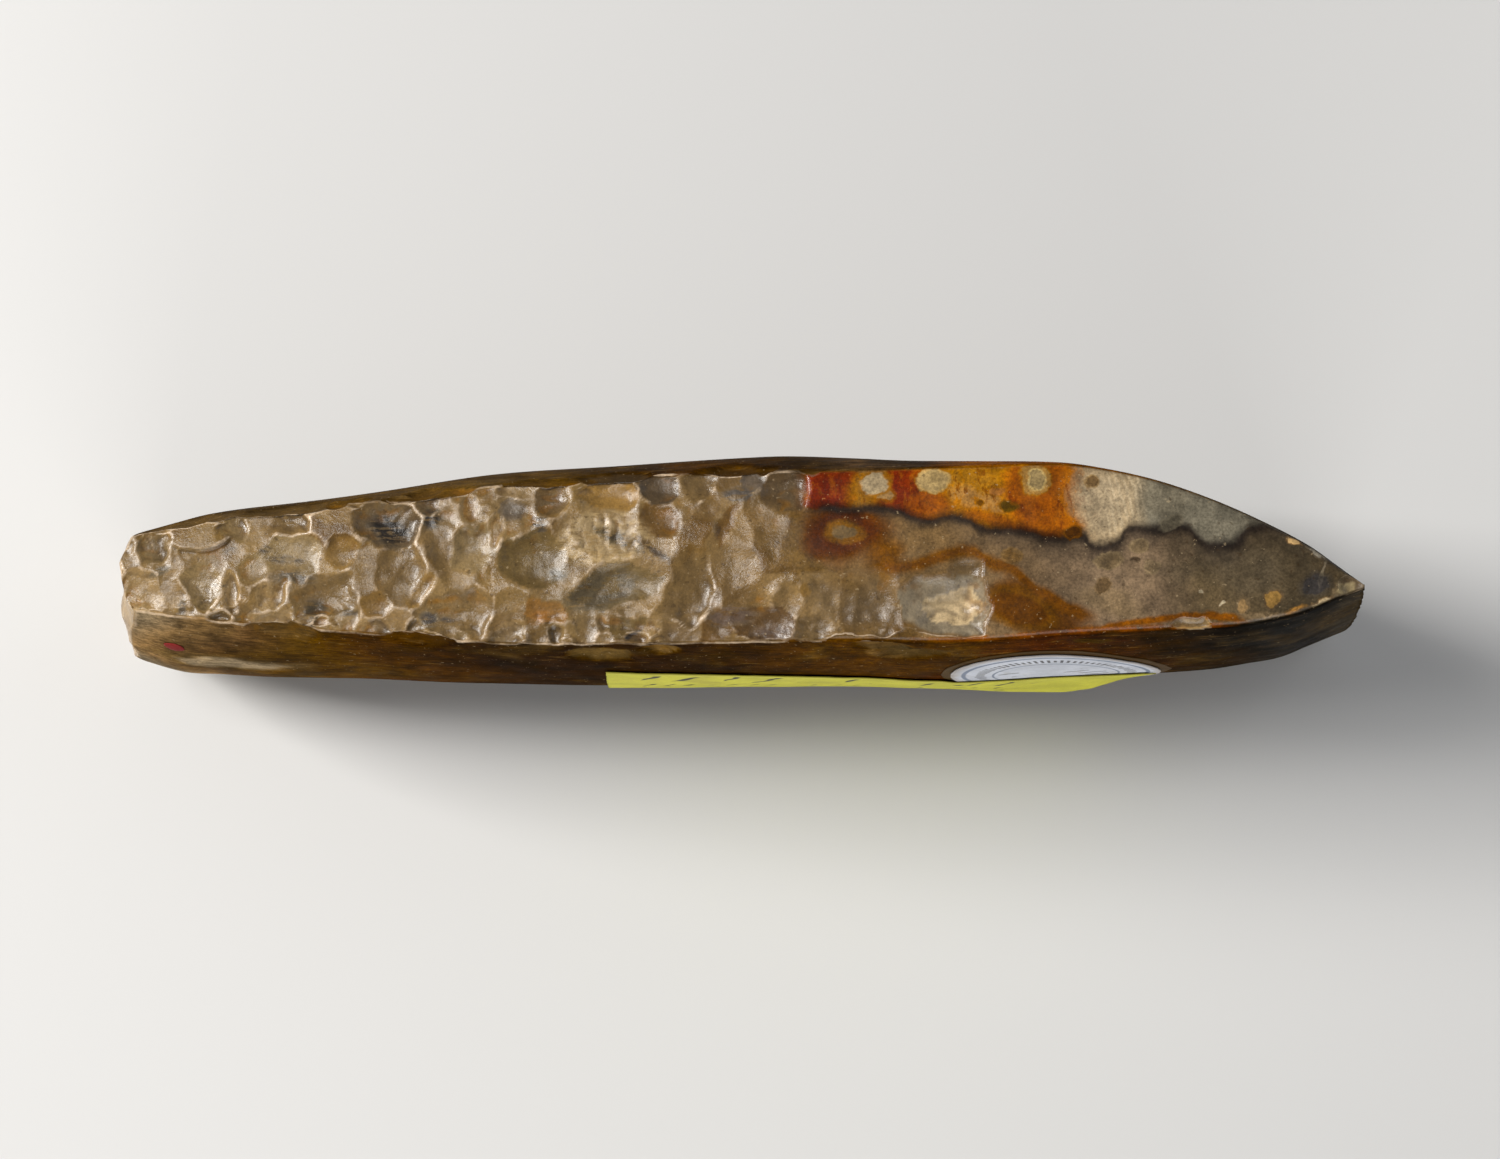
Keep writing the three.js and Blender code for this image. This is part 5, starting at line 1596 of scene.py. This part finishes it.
class StoneSettings(bpy.types.PropertyGroup):
    """Sizes and finishes of the stone."""

    knapped_round: FloatProperty(
        name="Knapped margin", description="Radius of the margins of the knapped half",
        default=0.00045, min=0, unit="LENGTH",
    )
    ground_round: FloatProperty(
        name="Ground margin", description="Radius of the margins of the ground half",
        default=0.0011, min=0, unit="LENGTH",
    )
    butt_round: FloatProperty(
        name="Butt margin", description="Radius of the margins of the broken butt",
        default=0.0016, min=0, unit="LENGTH",
    )
    knapped_roughness: FloatProperty(
        name="Knapped roughness", description="How dull the knapped skin is",
        default=0.29, min=0, max=1, subtype="FACTOR",
    )
    ground_roughness: FloatProperty(
        name="Ground roughness", description="How dull the ground skin is",
        default=0.27, min=0, max=1, subtype="FACTOR",
    )
    richness: FloatProperty(
        name="Richness", description="Saturation of all the colours of the flint",
        default=1.22, min=0, max=2, subtype="FACTOR",
    )
    brightness: FloatProperty(
        name="Brightness", description="Lightness of all the colours of the flint",
        default=0.78, min=0, max=2, subtype="FACTOR",
    )
    # Colour of the painted pale crests: partly the stone's paler rims, partly a painted highlight.
    crest_highlight_colour: FloatVectorProperty(
        name="Ridge colour", description="Colour of the thin crests between flake scars",
        default=(0.60, 0.48, 0.36), min=0, max=1, size=3, subtype="COLOR",
    )


class PaperSettings(bpy.types.PropertyGroup):
    """Sizes and colours of the papers, the gum and the paint."""

    strip_length: FloatProperty(
        name="Strip length", description="Length of the yellow strip along its lower edge",
        default=0.0754, min=0, unit="LENGTH",
    )
    strip_width: FloatProperty(
        name="Strip width", description="Width of the yellow strip",
        default=0.02, min=0, unit="LENGTH",
    )
    strip_colour: FloatVectorProperty(
        name="Strip colour", description="Colour of the yellow strip",
        default=(0.56, 0.54, 0.04), min=0, max=1, size=3, subtype="COLOR",
    )
    corner_lift: FloatProperty(
        name="Corner lift", description="How far the lower corner of the strip has come off the stone",
        default=0.0017, min=0, unit="LENGTH",
    )
    oval_length: FloatProperty(
        name="Oval length", description="Long diameter of the white oval",
        default=0.037, min=0, unit="LENGTH",
    )
    oval_width: FloatProperty(
        name="Oval width", description="Short diameter of the white oval",
        default=0.0256, min=0, unit="LENGTH",
    )
    oval_colour: FloatVectorProperty(
        name="Oval colour", description="Colour of the white oval",
        default=(0.56, 0.59, 0.66), min=0, max=1, size=3, subtype="COLOR",
    )
    paper_thickness: FloatProperty(
        name="Paper thickness", description="Thickness of both papers",
        default=0.00015, min=0, unit="LENGTH",
    )
    gum_margin: FloatProperty(
        name="Gum margin", description="How far the gum shows beyond the white oval",
        default=0.0013, min=0, unit="LENGTH",
    )
    gum_colour: FloatVectorProperty(
        name="Gum colour", description="Colour of the dried gum",
        default=(0.075, 0.042, 0.013), min=0, max=1, size=3, subtype="COLOR",
    )
    dab_length: FloatProperty(
        name="Paint length", description="Length of the red paint spot along the stone",
        default=0.0028, min=0, unit="LENGTH",
    )
    dab_width: FloatProperty(
        name="Paint width", description="Width of the red paint spot across the stone",
        default=0.0024, min=0, unit="LENGTH",
    )
    dab_colour: FloatVectorProperty(
        name="Paint colour", description="Colour of the red paint spot",
        default=(0.20, 0.022, 0.02), min=0, max=1, size=3, subtype="COLOR",
    )


class StageSettings(bpy.types.PropertyGroup):
    """The floor, the lamps and the camera."""

    floor_size: FloatProperty(
        name="Floor size", description="Side of the square floor",
        default=4.0, min=0, unit="LENGTH",
    )
    floor_colour: FloatVectorProperty(
        name="Floor colour", description="Colour of the plain floor",
        default=(0.60, 0.60, 0.595), min=0, max=1, size=3, subtype="COLOR",
    )
    camera_distance: FloatProperty(
        name="Camera distance", description="From the camera to the middle of the near side",
        default=0.9, min=0, unit="LENGTH",
    )
    camera_tilt: FloatProperty(
        name="Camera tilt", description="How far the camera leans towards the labelled face",
        default=math.radians(6.5), subtype="ANGLE",
    )


def show_piece(name, mesh, material, node):
    """Puts a piece in the scene. It rides on the axe and stands for one node of the frame."""
    piece = bpy.data.objects.new(name, mesh)
    bpy.context.scene.collection.objects.link(piece)
    mesh.materials.append(material)
    mesh.polygons.foreach_set("use_smooth", np.ones(len(mesh.polygons), bool))
    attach(piece, "root")
    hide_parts(node)
    return piece


class FLINT_OT_stone(bpy.types.Operator):
    """Sculpts the flint stone"""

    bl_idname = "flint_axe.stone"
    bl_label = "Flint stone"

    def execute(self, context):
        settings = context.scene.flint_stone
        mesh = sculpt_stone(settings)
        show_piece("flint_stone", mesh, flint_material(settings), "flint_blade")
        return {"FINISHED"}


class FLINT_OT_gum(bpy.types.Operator):
    """Spreads the gum under the white oval"""

    bl_idname = "flint_axe.gum"
    bl_label = "Gum"

    def execute(self, context):
        settings = context.scene.flint_papers
        material = film_material("gum", settings.gum_colour, 0.35)
        show_piece("gum_halo", make_gum(settings), material, "gum_film")
        return {"FINISHED"}


class FLINT_OT_oval(bpy.types.Operator):
    """Sticks on the white oval paper"""

    bl_idname = "flint_axe.oval"
    bl_label = "White oval"

    def execute(self, context):
        settings = context.scene.flint_papers
        material = oval_material(settings, stroke_group(), blot_group())
        show_piece("oval_paper", make_oval(settings), material, "oval_label")
        return {"FINISHED"}


class FLINT_OT_strip(bpy.types.Operator):
    """Sticks on the yellow paper strip"""

    bl_idname = "flint_axe.strip"
    bl_label = "Yellow strip"

    def execute(self, context):
        settings = context.scene.flint_papers
        material = strip_material(settings, stroke_group())
        show_piece("strip_paper", make_strip(settings), material, "strip_label")
        return {"FINISHED"}


class FLINT_OT_dab(bpy.types.Operator):
    """Dabs on the red paint spot"""

    bl_idname = "flint_axe.dab"
    bl_label = "Red paint"

    def execute(self, context):
        settings = context.scene.flint_papers
        material = film_material("red_paint", settings.dab_colour, 0.4)
        show_piece("paint_spot", make_dab(settings), material, "red_paint_dab")
        return {"FINISHED"}


def add_floor(settings):
    bm = bmesh.new()
    bmesh.ops.create_grid(bm, x_segments=2, y_segments=2, size=settings.floor_size / 2)
    mesh = bpy.data.meshes.new("floor")
    bm.to_mesh(mesh)
    bm.free()
    material = bpy.data.materials.new("floor")
    material.use_nodes = True
    shader = material.node_tree.nodes["Principled BSDF"]
    shader.inputs["Base Color"].default_value = tuple(settings.floor_colour) + (1.0,)
    shader.inputs["Roughness"].default_value = 0.9
    mesh.materials.append(material)
    floor = bpy.data.objects.new("floor", mesh)
    bpy.context.scene.collection.objects.link(floor)


# Soft lamps: name, place in metres, side of the square in metres, power in watts, colour.
LAMPS = [
    ("key", (-0.85, 0.22, 0.60), 0.32, 13.5, (1.0, 0.97, 0.93)),
    ("sheen", (-0.46, 0.12, 0.96), 0.26, 3.6, (1.0, 0.98, 0.95)),
    ("front", (0.10, -1.05, 0.26), 0.75, 7.2, (1.0, 0.98, 0.95)),
    ("fill", (0.85, 0.35, 0.80), 0.80, 1.6, (0.96, 0.98, 1.0)),
]


def add_lamps():
    for name, place, size, power, colour in LAMPS:
        lamp = bpy.data.lights.new(name, "AREA")
        lamp.shape = "SQUARE"
        lamp.size = size
        lamp.energy = power
        lamp.color = colour
        holder = bpy.data.objects.new(name, lamp)
        holder.location = place
        aim = Vector((0.0, 0.0, 0.03)) - Vector(place)
        holder.rotation_euler = aim.to_track_quat("-Z", "Y").to_euler()
        bpy.context.scene.collection.objects.link(holder)


def add_background():
    world = bpy.data.worlds.new("studio")
    bpy.context.scene.world = world
    world.use_nodes = True
    tree = Tree(world.node_tree)
    tree.nodes.clear()
    background = tree.add("ShaderNodeBackground")
    output = tree.add("ShaderNodeOutputWorld")
    tree.links.new(background.outputs[0], output.inputs[0])
    tree.feed(background.inputs["Color"], (0.16, 0.165, 0.175, 1.0))
    tree.feed(background.inputs["Strength"], 1.0)


# The middle of the near side, which the camera looks at, in the stone's own measures.
CAMERA_AIM = (85.6, -2.5, 53.0)


def add_camera(settings):
    camera = bpy.data.cameras.new("camera")
    camera.sensor_width = 36.0
    camera.lens = 160.3
    camera.clip_start = 0.05
    camera.clip_end = 20.0
    holder = bpy.data.objects.new("camera", camera)
    tilt = settings.camera_tilt
    aim = (np.array(CAMERA_AIM) + OFFSET) * MM
    holder.location = Vector(aim) + settings.camera_distance * Vector((0, -math.sin(tilt), math.cos(tilt)))
    holder.rotation_euler = (tilt, 0, 0)
    bpy.context.scene.collection.objects.link(holder)
    bpy.context.scene.camera = holder


class FLINT_OT_stage(bpy.types.Operator):
    """Sets up the floor, the lamps, the background and the camera"""

    bl_idname = "flint_axe.stage"
    bl_label = "Stage"

    def execute(self, context):
        settings = context.scene.flint_stage
        add_floor(settings)
        add_lamps()
        add_background()
        add_camera(settings)
        context.scene.view_settings.view_transform = "Standard"
        return {"FINISHED"}


class FLINT_PT_axe(bpy.types.Panel):
    """Lists the pieces of the axe"""

    bl_idname = "FLINT_PT_axe"
    bl_label = "Flint axe"
    bl_space_type = "VIEW_3D"
    bl_region_type = "UI"
    bl_category = "Flint axe"

    def draw(self, context):
        for settings in (context.scene.flint_stone, context.scene.flint_papers, context.scene.flint_stage):
            box = self.layout.box()
            for name in settings.__annotations__:
                box.prop(settings, name)
        for operator in OPERATORS:
            self.layout.operator(operator.bl_idname)


OPERATORS = (
    FLINT_OT_stone, FLINT_OT_gum, FLINT_OT_oval, FLINT_OT_strip, FLINT_OT_dab, FLINT_OT_stage,
)
CLASSES = (StoneSettings, PaperSettings, StageSettings) + OPERATORS + (FLINT_PT_axe,)


def register():
    for one in CLASSES:
        bpy.utils.register_class(one)
    bpy.types.Scene.flint_stone = PointerProperty(type=StoneSettings)
    bpy.types.Scene.flint_papers = PointerProperty(type=PaperSettings)
    bpy.types.Scene.flint_stage = PointerProperty(type=StageSettings)


def unregister():
    del bpy.types.Scene.flint_stage
    del bpy.types.Scene.flint_papers
    del bpy.types.Scene.flint_stone
    for one in reversed(CLASSES):
        bpy.utils.unregister_class(one)


def main():
    register()
    for step in ("stone", "gum", "oval", "strip", "dab", "stage"):
        result = getattr(bpy.ops.flint_axe, step)()
        if result != {"FINISHED"}:
            raise RuntimeError(f"the {step} wasn't made")


if __name__ == "__main__":
    main()
